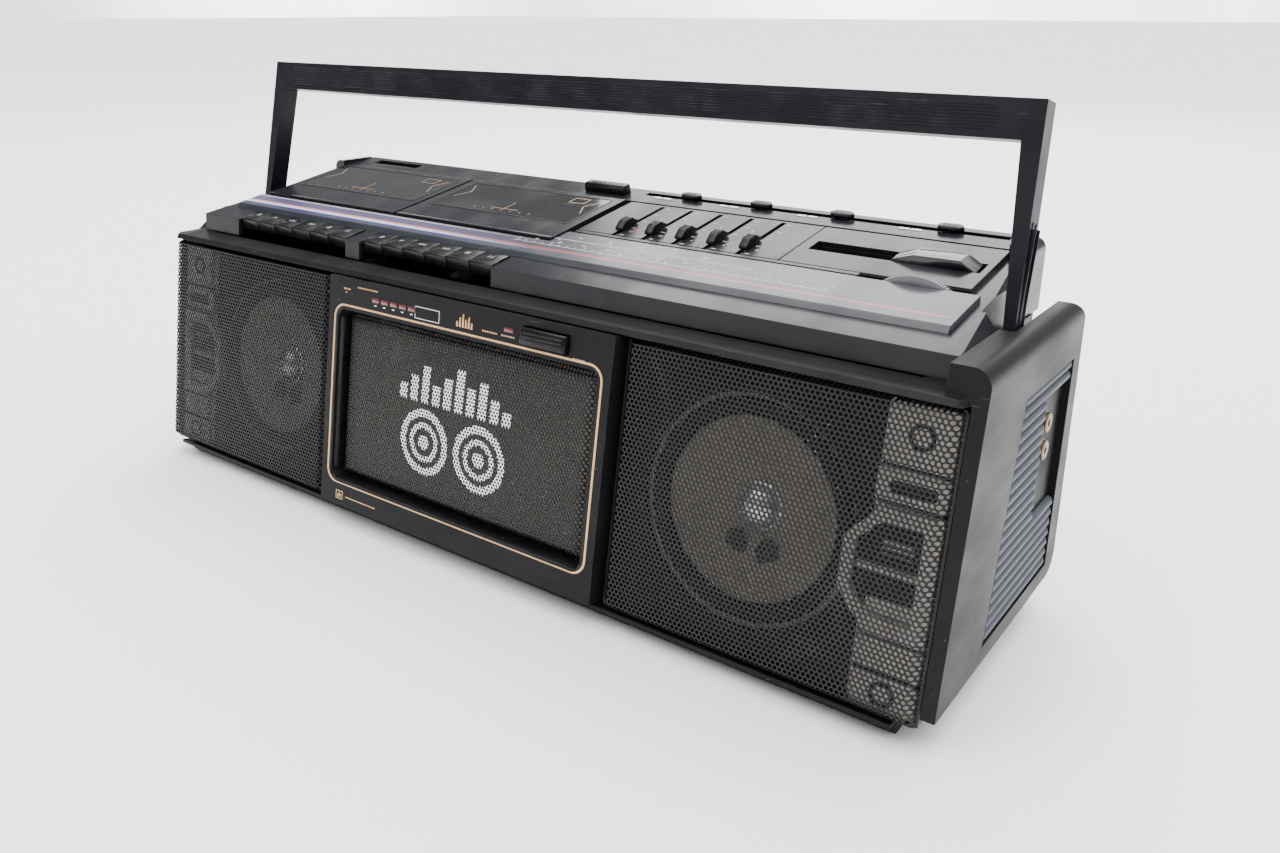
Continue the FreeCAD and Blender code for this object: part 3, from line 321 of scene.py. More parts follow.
def scale_print(p, base):
    """The printed bands of the scale panel over its base colour, with a painted sheen under them: a lighter
    grey band up the slope and pale streaks.
    """
    x, y, z = p.axes()
    v = y * math.cos(SLOPE) + (z - DECK_LEVEL) * math.sin(SLOPE)
    # Painted sheen: the panel is lighter grey up the slope from v = -26 mm, with pale streaks over it.
    painted_sheen_band = v.between(-27.5, -26.0)
    sheen = p.mix((0.016, 0.018, 0.026, 1), (0.060, 0.062, 0.070, 1), painted_sheen_band)
    painted_sheen_streaks = p.noise(9, 3.0, (1, 40, 8)).between(0.3, 0.7)
    sheen = p.mix(sheen, (0.040, 0.040, 0.050, 1), painted_sheen_streaks * 0.6)
    fade = 1 - x.between(-110, 40)
    for low, high, hue, weight in ((-25.0, -22.0, (0.035, 0.045, 0.15, 1), 0.95),
                                      (-21.5, -18.5, (0.66, 0.60, 0.72, 1), 0.95),
                                      (-18.3, -16.4, (0.62, 0.26, 0.26, 1), 0.75),
                                      (-15.5, -10.5, (0.10, 0.085, 0.20, 1), 0.80),
                                      (-9.5, -7.2, (0.52, 0.46, 0.55, 1), 0.60)):
        sheen = p.mix(sheen, hue, v.band(low, high, 0.5) * fade * weight)
    red = v.band(-18.8, -17.4, 0.25) * x.between(-60, 40) * (1 - x.between(262, 266))
    return p.mix(sheen, tint("red"), red * 0.85)


def case_seam(p, base):
    """The dark line round the ends where the two cabinets meet."""
    _, y, z = p.axes()
    gap = (y - SEAM_FOOT - z * SEAM_SLOPE).maths("ABSOLUTE")
    return p.mix(base, (0.0008, 0.0008, 0.0008, 1), 1 - gap.between(0.25, 0.6))


def cone_paper(name, base):
    """Pressed paper with fibres and darker blotches."""
    p = Paint(name)
    fibre = p.noise(700, 4.0, twist=1.2)
    blot = p.noise(22, 3.0, twist=0.6)
    tone = p.mix(shade(base, 0.72), shade(base, 1.2), blot)
    tone = p.mix(tone, shade(base, 0.55), fibre.between(0.5, 0.8) * 0.5)
    return p.done(Base_Color=tone, Roughness=0.85, Normal=p.bump(fibre, 0.25, 0.0004))


def steel_mesh(name, base, rough):
    """Black-coated perforated steel, rubbed bright here and there."""
    p = Paint(name)
    rub = p.noise(26, 4.0, twist=0.6).between(0.58, 0.76)
    fleck = p.specks(260, 0.10) * p.noise(15, 2.0).between(0.46, 0.66)
    tone = p.mix(base, (0.05, 0.05, 0.052, 1), rub * 0.35)
    tone = p.mix(tone, (0.45, 0.45, 0.46, 1), fleck * 0.5)
    return p.done(Base_Color=tone, Roughness=rub * 0.15 + rough, Specular_IOR_Level=0.35)


def lamp_glass(name, base):
    """A small coloured lens."""
    p = Paint(name)
    facet = p.noise(800, 1.0)
    return p.done(Base_Color=p.mix(base, shade(base, 0.4), facet), Roughness=facet * 0.1 + 0.12,
                  Coat_Weight=0.6)


def ink(name, base, rough=0.45, wear=0.5, metallic=0.0):
    """Printed or foil marks, worn through in places."""
    p = Paint(name)
    rubbed = p.noise(420, 3.0).between(0.5, 0.75) * wear
    return p.done(Base_Color=p.mix(base, shade(base, 0.35), rubbed), Roughness=rubbed * 0.2 + rough,
                  Metallic=metallic)


def laminate(name):
    """Green circuit board with copper runs showing through."""
    p = Paint(name)
    runs = p.node("ShaderNodeTexBrick", {}, {"Vector": p.mapped((1, 1, 1)), "Scale": 90.0,
                                             "Mortar Size": 0.03}, "Fac")
    return p.done(Base_Color=p.mix((0.02, 0.10, 0.045, 1), (0.05, 0.20, 0.08, 1), runs), Roughness=0.4)


def make_finishes():
    """Every material, by its slot's name or its own."""
    charcoal, deck, black = tint("charcoal"), tint("deck"), tint("black")
    return {
        "charcoal_plastic": moulded("charcoal_plastic", charcoal, 0.36, 0.12, shine=0.10),
        "cabinet_plastic": moulded("cabinet_plastic", charcoal, 0.36, 0.12, overlay=case_seam, shine=0.10),
        "deck_plastic": moulded("deck_plastic", deck, 0.20, 0.04, wear=1.3, dust=0.6, gloss=0.05,
                                shine=0.16),
        "scale_plastic": moulded("scale_plastic", deck, 0.20, 0.04, wear=1.3, dust=0.5, gloss=0.08,
                                 overlay=scale_print, shine=0.28),
        "base_plastic": moulded("base_plastic", shade(charcoal, 0.6), 0.5, 0.2),
        "handle_plastic": moulded("handle_plastic", tint("handle"), 0.36, 0.10, wear=1.2, dust=0.5),
        "black_plastic": moulded("black_plastic", black, 0.27, 0.05, wear=0.8, dust=0.5, gloss=0.08,
                                 edge=0.0004),
        "tuning_wheel_plastic": moulded("tuning_wheel_plastic", (0.16, 0.165, 0.175, 1), 0.34, 0.1,
                                        edge=0.0003),
        "pointer_plastic": moulded("pointer_plastic", tint("red"), 0.4, 0.05, wear=0.2, dust=0.2),
        "fin_plastic": moulded("fin_plastic", tint("fins"), 0.45, 0.12, wear=0.6, dust=1.6, edge=0.0005),
        "trim_plastic": moulded("trim_plastic", tint("trim"), 0.55, 0.15, wear=0.3, dust=0.8),
        "reel_plastic": moulded("reel_plastic", (0.55, 0.55, 0.53, 1), 0.4, 0.05, wear=0.3, dust=0.3),
        "foot_rubber": moulded("foot_rubber", (0.012, 0.012, 0.012, 1), 0.75, 0.3, wear=0.2),
        "grille_steel": steel_mesh("grille_steel", (0.0040, 0.0042, 0.0048, 1), 0.50),
        "rubber_surround": moulded("rubber_surround", (0.012, 0.012, 0.013, 1), 0.55, 0.1, wear=0.1),
        "driver_paper": cone_paper("driver_paper", tint("cone")),
        "backing_cloth": cone_paper("backing_cloth", (0.20, 0.182, 0.158, 1)),
        # Dark paper for the painted shadows below the dust caps.
        "blot_paper": cone_paper("blot_paper", (0.035, 0.030, 0.026, 1)),
        "cap_foil": metal("cap_foil", (0.78, 0.78, 0.80, 1), 0.30, tarnish=0.25),
        "smoked_window": smoked_glass("smoked_window", 0.86, 0.10),
        "zinc_steel": metal("zinc_steel", (0.62, 0.62, 0.60, 1), 0.34, (1, 6, 1)),
        "transformer_steel": metal("transformer_steel", (0.20, 0.20, 0.20, 1), 0.5),
        "jack_metal": metal("jack_metal", (0.26, 0.21, 0.15, 1), 0.38, tarnish=0.4),
        "board_laminate": laminate("board_laminate"),
        "gold_ink": ink("gold_ink", tint("gold"), 0.35, 0.35, 0.6),
        "pale_ink": ink("pale_ink", tint("print"), 0.5, 0.45),
        "red_ink": ink("red_ink", tint("red"), 0.4, 0.3),
        "grey_ink": ink("grey_ink", (0.16, 0.16, 0.165, 1), 0.5, 0.5),
        "gloss_black": moulded("gloss_black", shade(black, 1.6), 0.12, 0.03, wear=1.2, dust=0.3, gloss=0.6,
                               edge=0.0004),
        "mesh_ink": ink("mesh_ink", (0.82, 0.84, 0.88, 1), 0.5, 0.25),
        "red_lens": lamp_glass("red_lens", (0.20, 0.035, 0.04, 1)),
        "dark_lens": lamp_glass("dark_lens", (0.02, 0.02, 0.022, 1)),
        "screw_black": metal("screw_black", (0.10, 0.10, 0.105, 1), 0.35),
    }


FINISHES = {}


# ------------------------------------------------------------------ mesh making
TURNS = {"x": lambda a, b, c: (c, a, b), "y": lambda a, b, c: (a, c, b), "z": lambda a, b, c: (a, b, c)}


class Maker:
    """Gathers closed solids in one mesh, in the millimetres of one of the three sets of axes."""

    def __init__(self, mesh=None):
        self.mesh = bmesh.new() if mesh is None else mesh

    @classmethod
    def of(cls, data):
        """A maker that holds a grown mesh, taken from metres to millimetres."""
        data.transform(BODY.inverted())
        maker = cls()
        maker.mesh.from_mesh(data)
        return maker

    def prism(self, outline, low, high, along="y", bevel=0.0, steps=2, finish=0):
        """A polygon of two numbers a corner, drawn out along an axis, with its edges rounded off."""
        turn = TURNS[along]
        ends = [[self.mesh.verts.new(turn(a, b, level)) for a, b in outline] for level in (low, high)]
        faces = [self.mesh.faces.new(ends[0]), self.mesh.faces.new(ends[1])]
        count = len(outline)
        for i in range(count):
            j = (i + 1) % count
            faces.append(self.mesh.faces.new((ends[0][i], ends[0][j], ends[1][j], ends[1][i])))
        return self._close(faces, bevel, steps, finish)

    def block(self, x, y, z, bevel=0.0, steps=2, finish=0):
        """A box between the two numbers given for each axis."""
        outline = [(x[0], y[0]), (x[1], y[0]), (x[1], y[1]), (x[0], y[1])]
        return self.prism(outline, z[0], z[1], "z", bevel, steps, finish)

    def ring(self, outer, inner, low, high, along="y", finish=0):
        """A flat frame between two outlines that have as many corners."""
        turn = TURNS[along]
        loops = [[self.mesh.verts.new(turn(a, b, level)) for a, b in outline]
                 for outline, level in ((outer, low), (outer, high), (inner, high), (inner, low))]
        return self._loops(loops, finish)

    def frame(self, outlines, finish=0):
        """A closed frame through outlines of points in space, each with as many corners."""
        return self._loops([[self.mesh.verts.new(p) for p in outline] for outline in outlines], finish)

    def _loops(self, loops, finish):
        faces, count = [], len(loops[0])
        for here, there in zip(loops, loops[1:] + loops[:1]):
            for i in range(count):
                j = (i + 1) % count
                faces.append(self.mesh.faces.new((here[i], here[j], there[j], there[i])))
        return self._close(faces, 0, 1, finish)

    def turned(self, profile, centre, axis="y", steps=48, finish=0):
        """A shape turned about an axis: pairs of radius and distance along it."""
        place = {"x": lambda c, s, t: (centre[0] + t, centre[1] + c, centre[2] + s),
                 "y": lambda c, s, t: (centre[0] + c, centre[1] + t, centre[2] + s),
                 "z": lambda c, s, t: (centre[0] + c, centre[1] + s, centre[2] + t)}[axis]
        rings = []
        for radius, along in profile:
            if radius < 1e-6:
                rings.append([self.mesh.verts.new(place(0, 0, along))])
            else:
                rings.append([self.mesh.verts.new(place(radius * math.cos(2 * math.pi * i / steps),
                                                        radius * math.sin(2 * math.pi * i / steps), along))
                              for i in range(steps)])
        faces = []
        pairs = list(zip(rings, rings[1:]))
        if len(rings[0]) > 1 and len(rings[-1]) > 1:
            pairs.append((rings[-1], rings[0]))
        for here, there in pairs:
            for i in range(steps):
                j = (i + 1) % steps
                corners = ([here[0]] if len(here) == 1 else [here[i], here[j]])
                corners += [there[0]] if len(there) == 1 else [there[j], there[i]]
                if len(corners) > 2:
                    faces.append(self.mesh.faces.new(corners))
        return self._close(faces, 0, 1, finish)

    def line(self, points, wide, low, high, closed=False, along="z", finish=0):
        """A flat printed line of even width through points of two numbers."""
        count = len(points)
        runs = range(count if closed else count - 1)
        for i in runs:
            a, b = Vector(points[i]), Vector(points[(i + 1) % count])
            if (b - a).length < 1e-6:
                continue
            d = (b - a).normalized() * (wide / 2)
            n = Vector((-d.y, d.x))
            a, b = a - d * 0.6, b + d * 0.6
            self.prism([tuple(a + n), tuple(a - n), tuple(b - n), tuple(b + n)], low, high, along,
                       finish=finish)

    def _close(self, faces, bevel, steps, finish):
        for face in faces:
            face.material_index = finish
        bmesh.ops.recalc_face_normals(self.mesh, faces=faces)
        if bevel:
            edges = list(dict.fromkeys(edge for face in faces for edge in face.edges))
            made = bmesh.ops.bevel(self.mesh, geom=edges, offset=bevel, segments=steps, profile=0.5,
                                   affect="EDGES", clamp_overlap=True)
            for face in made["faces"]:
                face.material_index = finish
        return faces

    def finish(self, name, body, finishes, axes=BODY, replaces=(), slot=None, smooth=40):
        """The finished piece: in metres, at the origin, riding on its body."""
        return settle(self.data(axes), name, body, finishes, replaces, smooth)

    def data(self, axes=BODY):
        """The solids as a plain mesh, in metres unless other axes are given."""
        data = bpy.data.meshes.new("solids")
        self.mesh.transform(axes)
        self.mesh.to_mesh(data)
        self.mesh.free()
        return data


def settle(data, name, body, finishes, replaces=(), smooth=40):
    """Puts a final mesh in the scene, with its finishes, body and the nodes it stands for."""
    names = [finishes] if isinstance(finishes, str) else list(finishes)
    data.name = name
    while len(data.materials) < len(names):
        data.materials.append(None)
    for index, finish in enumerate(names):
        data.materials[index] = FINISHES[finish]
    if smooth:
        for polygon in data.polygons:
            polygon.use_smooth = True
        data.set_sharp_from_angle(angle=math.radians(smooth))
    piece = bpy.data.objects.new(name, data)
    bpy.context.scene.collection.objects.link(piece)
    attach(piece, body)
    if replaces:
        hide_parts(*replaces)
    return piece


def span(side, near, far):
    """The run between two distances from the middle, at that side."""
    return (near, far) if side > 0 else (-far, -near)


def rounded(x, z, radius, steps=6):
    """The corners of a rectangle with round corners, anticlockwise."""
    out = []
    for cx, cz, start in ((x[1] - radius, z[1] - radius, 0), (x[0] + radius, z[1] - radius, 90),
                          (x[0] + radius, z[0] + radius, 180), (x[1] - radius, z[0] + radius, 270)):
        for i in range(steps + 1):
            angle = math.radians(start + 90 * i / steps)
            out.append((cx + radius * math.cos(angle), cz + radius * math.sin(angle)))
    return out


def circle(x, z, radius, steps=32, squash=1.0):
    """The corners of a circle or an ellipse."""
    return [(x + radius * math.cos(2 * math.pi * i / steps),
             z + radius * squash * math.sin(2 * math.pi * i / steps)) for i in range(steps)]


def lettering(text, size, place):
    """Flat figures, such as a dial's numbers, as a thin mesh at a place, in millimetres."""
    curve = bpy.data.curves.new("figures", "FONT")
    curve.body, curve.size, curve.extrude = text, size, 0.02
    curve.align_x, curve.align_y, curve.resolution_u = "CENTER", "CENTER", 2
    loose = bpy.data.objects.new("figures", curve)
    data = bpy.data.meshes.new_from_object(loose)
    data.transform(Matrix.Translation(place))
    bpy.data.objects.remove(loose)
    bpy.data.curves.remove(curve)
    return data


# ------------------------------------------------------------------ geometry nodes
class Growth:
    """A geometry node tree with named inputs that ends in Realize Instances and Set Material."""

    KINDS = {"float": "NodeSocketFloat", "int": "NodeSocketInt", "vector": "NodeSocketVector",
             "object": "NodeSocketObject", "material": "NodeSocketMaterial"}

    def __init__(self, name, inputs):
        self.tree = bpy.data.node_groups.new(name, "GeometryNodeTree")
        face = self.tree.interface
        face.new_socket("Geometry", in_out="INPUT", socket_type="NodeSocketGeometry")
        self.names = {}
        for label, kind in inputs.items():
            self.names[label] = face.new_socket(label, in_out="INPUT", socket_type=self.KINDS[kind])
        self.material = face.new_socket("Material", in_out="INPUT", socket_type=self.KINDS["material"])
        face.new_socket("Geometry", in_out="OUTPUT", socket_type="NodeSocketGeometry")
        self.start = self.tree.nodes.new("NodeGroupInput")
        self.end = self.tree.nodes.new("NodeGroupOutput")

    def given(self, label):
        """A named input's socket."""
        return self.start.outputs[label]

    def node(self, kind, inputs=(), output=0, **settings):
        """A node of that type."""
        return add_node(self.tree, kind, inputs, output, **settings)

    def maths(self, operation, *values):
        """One Math node."""
        return self.node("ShaderNodeMath", values, operation=operation)

    def close(self, geometry, weld=None):
        """Ends the tree."""
        real = self.node("GeometryNodeRealizeInstances", {"Geometry": geometry})
        if weld is not None:
            real = self.node("GeometryNodeMergeByDistance", {"Geometry": real, "Distance": weld})
        done = self.node("GeometryNodeSetMaterial", {"Geometry": real, "Material": self.given("Material")})
        self.tree.links.new(done, self.end.inputs["Geometry"])

    def grow(self, seed, values, finish):
        """The tree's result on a mesh, as a plain mesh."""
        base = bpy.data.objects.new("grown", seed)
        bpy.context.scene.collection.objects.link(base)
        modifier = base.modifiers.new("Growth", "NODES")
        modifier.node_group = self.tree
        for label, value in values.items():
            modifier[self.names[label].identifier] = value
        modifier[self.material.identifier] = FINISHES[finish]
        bpy.context.view_layer.update()
        shape = base.evaluated_get(bpy.context.evaluated_depsgraph_get())
        data = bpy.data.meshes.new_from_object(shape)
        base.modifiers.remove(modifier)
        bpy.data.objects.remove(base)
        data.materials.clear()
        return data


GROWTHS = {}


def rows_growth():
    """Copies of a tile in rows, each other row shifted."""
    g = Growth("Rows", {"Across": "int", "Up": "int", "Step": "vector", "Rise": "vector", "Shift": "vector",
                        "Start": "vector"})
    total = g.maths("MULTIPLY", g.given("Across"), g.given("Up"))
    points = g.node("GeometryNodePoints", {"Count": total})
    index = g.node("GeometryNodeInputIndex")
    row = g.maths("FLOOR", g.maths("DIVIDE", g.maths("ADD", index, 0.5), g.given("Across")))
    column = g.maths("SUBTRACT", index, g.maths("MULTIPLY", row, g.given("Across")))
    odd = g.maths("MODULO", row, 2.0)
    place = g.given("Start")
    for label, times in (("Step", column), ("Rise", row), ("Shift", odd)):
        part = g.node("ShaderNodeVectorMath", {0: g.given(label), "Scale": times}, operation="SCALE")
        place = g.node("ShaderNodeVectorMath", [place, part], operation="ADD")
    points = g.node("GeometryNodeSetPosition", {"Geometry": points, "Position": place})
    copies = g.node("GeometryNodeInstanceOnPoints", {"Points": points, "Instance": g.given("Geometry")})
    g.close(copies, 0.00004)
    return g


def spots_growth():
    """A copy of one object at each point of a mesh."""
    g = Growth("Spots", {"Head": "object"})
    head = g.node("GeometryNodeObjectInfo", {"Object": g.given("Head")}, "Geometry")
    points = g.node("GeometryNodeMeshToPoints", {"Mesh": g.given("Geometry")})
    g.close(g.node("GeometryNodeInstanceOnPoints", {"Points": points, "Instance": head}))
    return g


def wheel_growth():
    """Copies of a tile turned about the Y axis of its own origin."""
    g = Growth("Knurls", {"Count": "int", "Centre": "vector"})
    points = g.node("GeometryNodePoints", {"Count": g.given("Count")})
    index = g.node("GeometryNodeInputIndex")
    angle = g.maths("DIVIDE", g.maths("MULTIPLY", index, 2 * math.pi), g.given("Count"))
    turn = g.node("ShaderNodeCombineXYZ", {"Y": angle})
    copies = g.node("GeometryNodeInstanceOnPoints", {"Points": points, "Instance": g.given("Geometry"),
                                                     "Rotation": turn})
    real = g.node("GeometryNodeRealizeInstances", {"Geometry": copies})
    moved = g.node("GeometryNodeTransform", {"Geometry": real, "Translation": g.given("Centre")})
    g.close(moved)
    return g


def fins_growth():
    """Louvre fins: a unit fin stretched from a leaning front line to a rear line with a pocket in it."""
    g = Growth("Fins", {"Count": "int", "Pitch": "float", "Low": "float", "Front at Foot": "float",
                        "Front Slope": "float", "Rear": "float", "Pocket Front": "float",
                        "Pocket Low": "float", "Pocket High": "float", "Face": "float"})
    points = g.node("GeometryNodePoints", {"Count": g.given("Count")})
    index = g.node("GeometryNodeInputIndex")
    height = g.maths("ADD", g.given("Low"), g.maths("MULTIPLY", index, g.given("Pitch")))
    front = g.maths("ADD", g.given("Front at Foot"), g.maths("MULTIPLY", height, g.given("Front Slope")))
    inside = g.maths("MULTIPLY", g.maths("GREATER_THAN", height, g.given("Pocket Low")),
                     g.maths("LESS_THAN", height, g.given("Pocket High")))
    cut = g.maths("MULTIPLY", inside, g.maths("SUBTRACT", g.given("Pocket Front"), g.given("Rear")))
    rear = g.maths("ADD", g.given("Rear"), cut)
    place = g.node("ShaderNodeCombineXYZ", {"X": g.given("Face"), "Y": front, "Z": height})
    scale = g.node("ShaderNodeCombineXYZ", {"X": 1.0, "Y": g.maths("SUBTRACT", rear, front), "Z": 1.0})
    moved = g.node("GeometryNodeSetPosition", {"Geometry": points, "Position": place})
    g.close(g.node("GeometryNodeInstanceOnPoints", {"Points": moved, "Instance": g.given("Geometry"),
                                                    "Scale": scale}))
    return g


def growth(kind):
    """A tree, made once."""
    makers = {"rows": rows_growth, "spots": spots_growth, "wheel": wheel_growth, "fins": fins_growth}
    if kind not in GROWTHS:
        GROWTHS[kind] = makers[kind]()
    return GROWTHS[kind]


def stacked(seed, count, rise, foot, finish):
    """Copies of a mesh one above the other, all in metres."""
    return growth("rows").grow(seed, {"Across": 1, "Up": count, "Step": (0, 0, 0), "Rise": (0, 0, rise),
                                      "Shift": (0, 0, 0), "Start": (0, 0, foot)}, finish)


def tile(pitch, rise, radius, thick, corners):
    """One cell of a perforated sheet with its hole: a brick of millimetres in X and Z, thick along Y."""
    half, up = pitch / 2, rise / 2
    if corners == 8:
        outer = [(half, 0), (half, up), (0, up), (-half, up), (-half, 0), (-half, -up), (0, -up), (half, -up)]
        hole = [(radius * math.cos(math.pi * i / 4), radius * math.sin(math.pi * i / 4)) for i in range(8)]
    else:
        outer = [(half, -up), (half, up), (0, up), (-half, up), (-half, -up), (0, -up)]
        hole = [(radius * math.cos(math.pi * (2 * i - 1) / 6), radius * math.sin(math.pi * (2 * i - 1) / 6))
                for i in range(6)]
    data = bpy.data.meshes.new("tile")
    levels = [(outer, 0.0), (hole, 0.0), (hole, thick), (outer, thick)]
    verts = [(x * MM, y * MM, z * MM) for loop, y in levels for x, z in loop]
    faces = []
    for level in range(3):
        for i in range(corners):
            j = (i + 1) % corners
            a, b = level * corners, (level + 1) * corners
            faces.append((a + i, a + j, b + j, b + i))
    data.from_pydata(verts, [], faces)
    return data


def perforated(x, z, pitch, open_share, thick, corners, finish):
    """A flat perforated sheet in metres, its front at depth 0, ready to be pressed into shape."""
    rise = pitch * math.sqrt(3) / 2
    across, up = math.ceil((x[1] - x[0]) / pitch) + 1, math.ceil((z[1] - z[0]) / rise)
    rise = (z[1] - z[0]) / up
    return growth("rows").grow(tile(pitch, rise, pitch * open_share, thick, corners),
                               {"Across": across, "Up": up, "Step": (pitch * MM, 0, 0),
                                "Rise": (0, 0, rise * MM), "Shift": (pitch * MM / 2, 0, 0),
                                "Start": (x[0] * MM, 0, (z[0] + rise / 2) * MM)}, finish)


def pressed(data, depth, x, z):
    """Gives each point its depth from a function of X and Z in millimetres, inside the given edges."""
    mesh = bmesh.new()
    mesh.from_mesh(data)
    for vert in mesh.verts:
        px = min(max(vert.co.x / MM, x[0]), x[1])
        pz = min(max(vert.co.z / MM, z[0]), z[1])
        vert.co = Vector((px, vert.co.y / MM + depth(px, pz), pz))
    bmesh.ops.dissolve_degenerate(mesh, edges=list(mesh.edges), dist=0.002)
    mesh.normal_update()
    return mesh


# ------------------------------------------------------------------ operators
class StereoOperator:
    """What the operators share."""
    bl_options = {"REGISTER", "UNDO"}

    def execute(self, context):
        """Makes the pieces."""
        self.make()
        return {"FINISHED"}


NODE_FINISHES = {
    "front_bezel": "charcoal_plastic", "scale_panel": "scale_plastic", "control_panel": "deck_plastic",
    "dial_pointer": "pointer_plastic", "jack_plate": "base_plastic",
    "front_cabinet": "cabinet_plastic", "rear_cabinet": "cabinet_plastic",
}


class STEREO_OT_finishes(StereoOperator, bpy.types.Operator):
    """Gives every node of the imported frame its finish."""
    bl_idname = "stereo.finishes"
    bl_label = "Finishes"

    def make(self):
        """One finish for each node, from its slot."""
        FINISHES.update(make_finishes())
        slots = {entry["node"]: entry["material_slot"] for entry in frame["record"]["subparts"]}
        for name, node in NODES.items():
            finish = NODE_FINISHES.get(name) or slots.get(name)
            if finish not in FINISHES:
                finish = "charcoal_plastic"
            node.data.materials.clear()
            node.data.materials.append(FINISHES[finish])


def pan_depth(x, z, walls, low, high, soft=False, lift=None):
    """Depth of a pressed pan: low at its rim and high inside; walls are its four sides' widths."""
    def depth(px, pz):
        """The depth at one point."""
        step = min((px - x[0]) / walls[0], (x[1] - px) / walls[1],
                   (pz - z[0]) / walls[2], (z[1] - pz) / walls[3])
        step = max(0.0, min(1.0, step))
        if soft:
            step = step * step * (3 - 2 * step)
        return low + (high - low) * step + (lift(px, pz) * step if lift else 0)
    return depth


class STEREO_OT_side_grilles(StereoOperator, bpy.types.Operator):
    """Perforated pans in front of the speakers."""
    bl_idname = "stereo.side_grilles"
    bl_label = "Side grilles"

    def make(self):
        """Each pan is a sheet of holes pressed over a rim, with a bead round it."""
        pitch, share = sizes().mesh_pitch / MM, sizes().mesh_open
        for label, side in SIDES.items():
            x = span(side, 114.6, 292.0)
            z = (13.2, 159.8)
            data = perforated(x, z, pitch, share, 0.7, 6, "grille_steel")
            walls = (6.0, 5.2) if side > 0 else (5.2, 6.0)
            mesh = pressed(data, pan_depth(x, z, (*walls, 3.6, 1.0), 4.6, -2.9), x, z)
            maker = Maker(mesh)
            outer = rounded((x[0] - 0.3, x[1] + 0.3), (z[0] - 0.3, z[1] + 0.3), 3.0, 3)
            inner = rounded((x[0] + 1.0, x[1] - 1.0), (z[0] + 1.0, z[1] - 1.0), 2.4, 3)
            maker.ring(outer, inner, 3.2, 9.5)
            maker.finish(f"{label}_grille_mesh", "cabinet", "grille_steel", FRONT, [f"{label}_grille"],
                         "grille_steel", 50)


def emblem_mask(x, z):
    """True where the centre grille is painted: level bars over two ringed discs, a generic mark."""
    for i, tall in enumerate((9, 15, 22, 12, 18, 25, 16, 21, 13, 8)):
        left = -45 + 9.3 * i
        if left <= x <= left + 6.3 and 96 <= z <= 96 + tall:
            return True
    for centre in (-22.0, 23.0):
        gap = math.hypot(x - centre, z - 72.0)
        if 15.5 <= gap <= 20.0 or 8.6 <= gap <= 12.0 or gap <= 4.4:
            return True
    return False


class STEREO_OT_centre_grille(StereoOperator, bpy.types.Operator):
    """The crowned perforated grille over the woofer, with its printed mark, and its surround."""
    bl_idname = "stereo.centre_grille"
    bl_label = "Centre grille"

    def make(self):
        """A finer sheet of holes, crowned, with the mark's colour on the cells that carry it."""
        x, z = (-102.2, 102.2), (31.8, 139.2)
        pitch = sizes().woofer_pitch / MM
        data = perforated(x, z, pitch, sizes().mesh_open, 0.5, 6, "grille_steel")

        def crown(px, pz):
            """A low dome over the middle."""
            return -3.2 * (1 - (px / 103) ** 2) * (1 - ((pz - 85.5) / 55) ** 2)

        mesh = pressed(data, pan_depth(x, z, (9.0, 9.0, 7.0, 7.0), 3.6, -2.0, True, crown), x, z)
        for face in mesh.faces:
            centre = face.calc_center_median()
            if face.normal.y < -0.3 and emblem_mask(centre.x, centre.z):
                face.material_index = 1
        Maker(mesh).finish("woofer_grille_mesh", "cabinet", ["grille_steel", "mesh_ink"], FRONT,
                           ["woofer_grille"], "grille_steel", 50)
        backing = Maker()
        backing.block((-101, 101), (5.4, 6.2), (33, 138))
        backing.finish("woofer_grille_backing", "cabinet", "backing_cloth", FRONT, (), "driver_paper", 0)
        surround = Maker()
        face = BEZEL_FACE
        outlines = []
        for edge, depth, radius in ((105.2, face - 0.02, 8.0), (104.4, face - 0.25, 7.6),
                                    (103.4, face + 0.5, 7.2), (101.6, 2.0, 6.4), (101.4, 5.0, 6.3)):
            lift = edge - 102.6
            outlines.append([(px, depth, pz) for px, pz in
                             rounded((-edge, edge), (31.0 - lift, 140.0 + lift), radius, 6)])
        surround.frame(outlines)
        surround.finish("woofer_grille_surround", "cabinet", "black_plastic", FRONT, (), "black_plastic")
        line = Maker()
        wide = sizes().gold_width / MM
        line.ring(rounded((-106.8, 106.8), (28.0, 143.4), 9.0, 8),
                  rounded((-106.8 + wide, 106.8 - wide), (28.0 + wide, 143.4 - wide), 9.0 - wide, 8),
                  face - 0.12, face + 0.02)
        line.finish("gold_line", "cabinet", "gold_ink", FRONT, (), "charcoal_plastic")


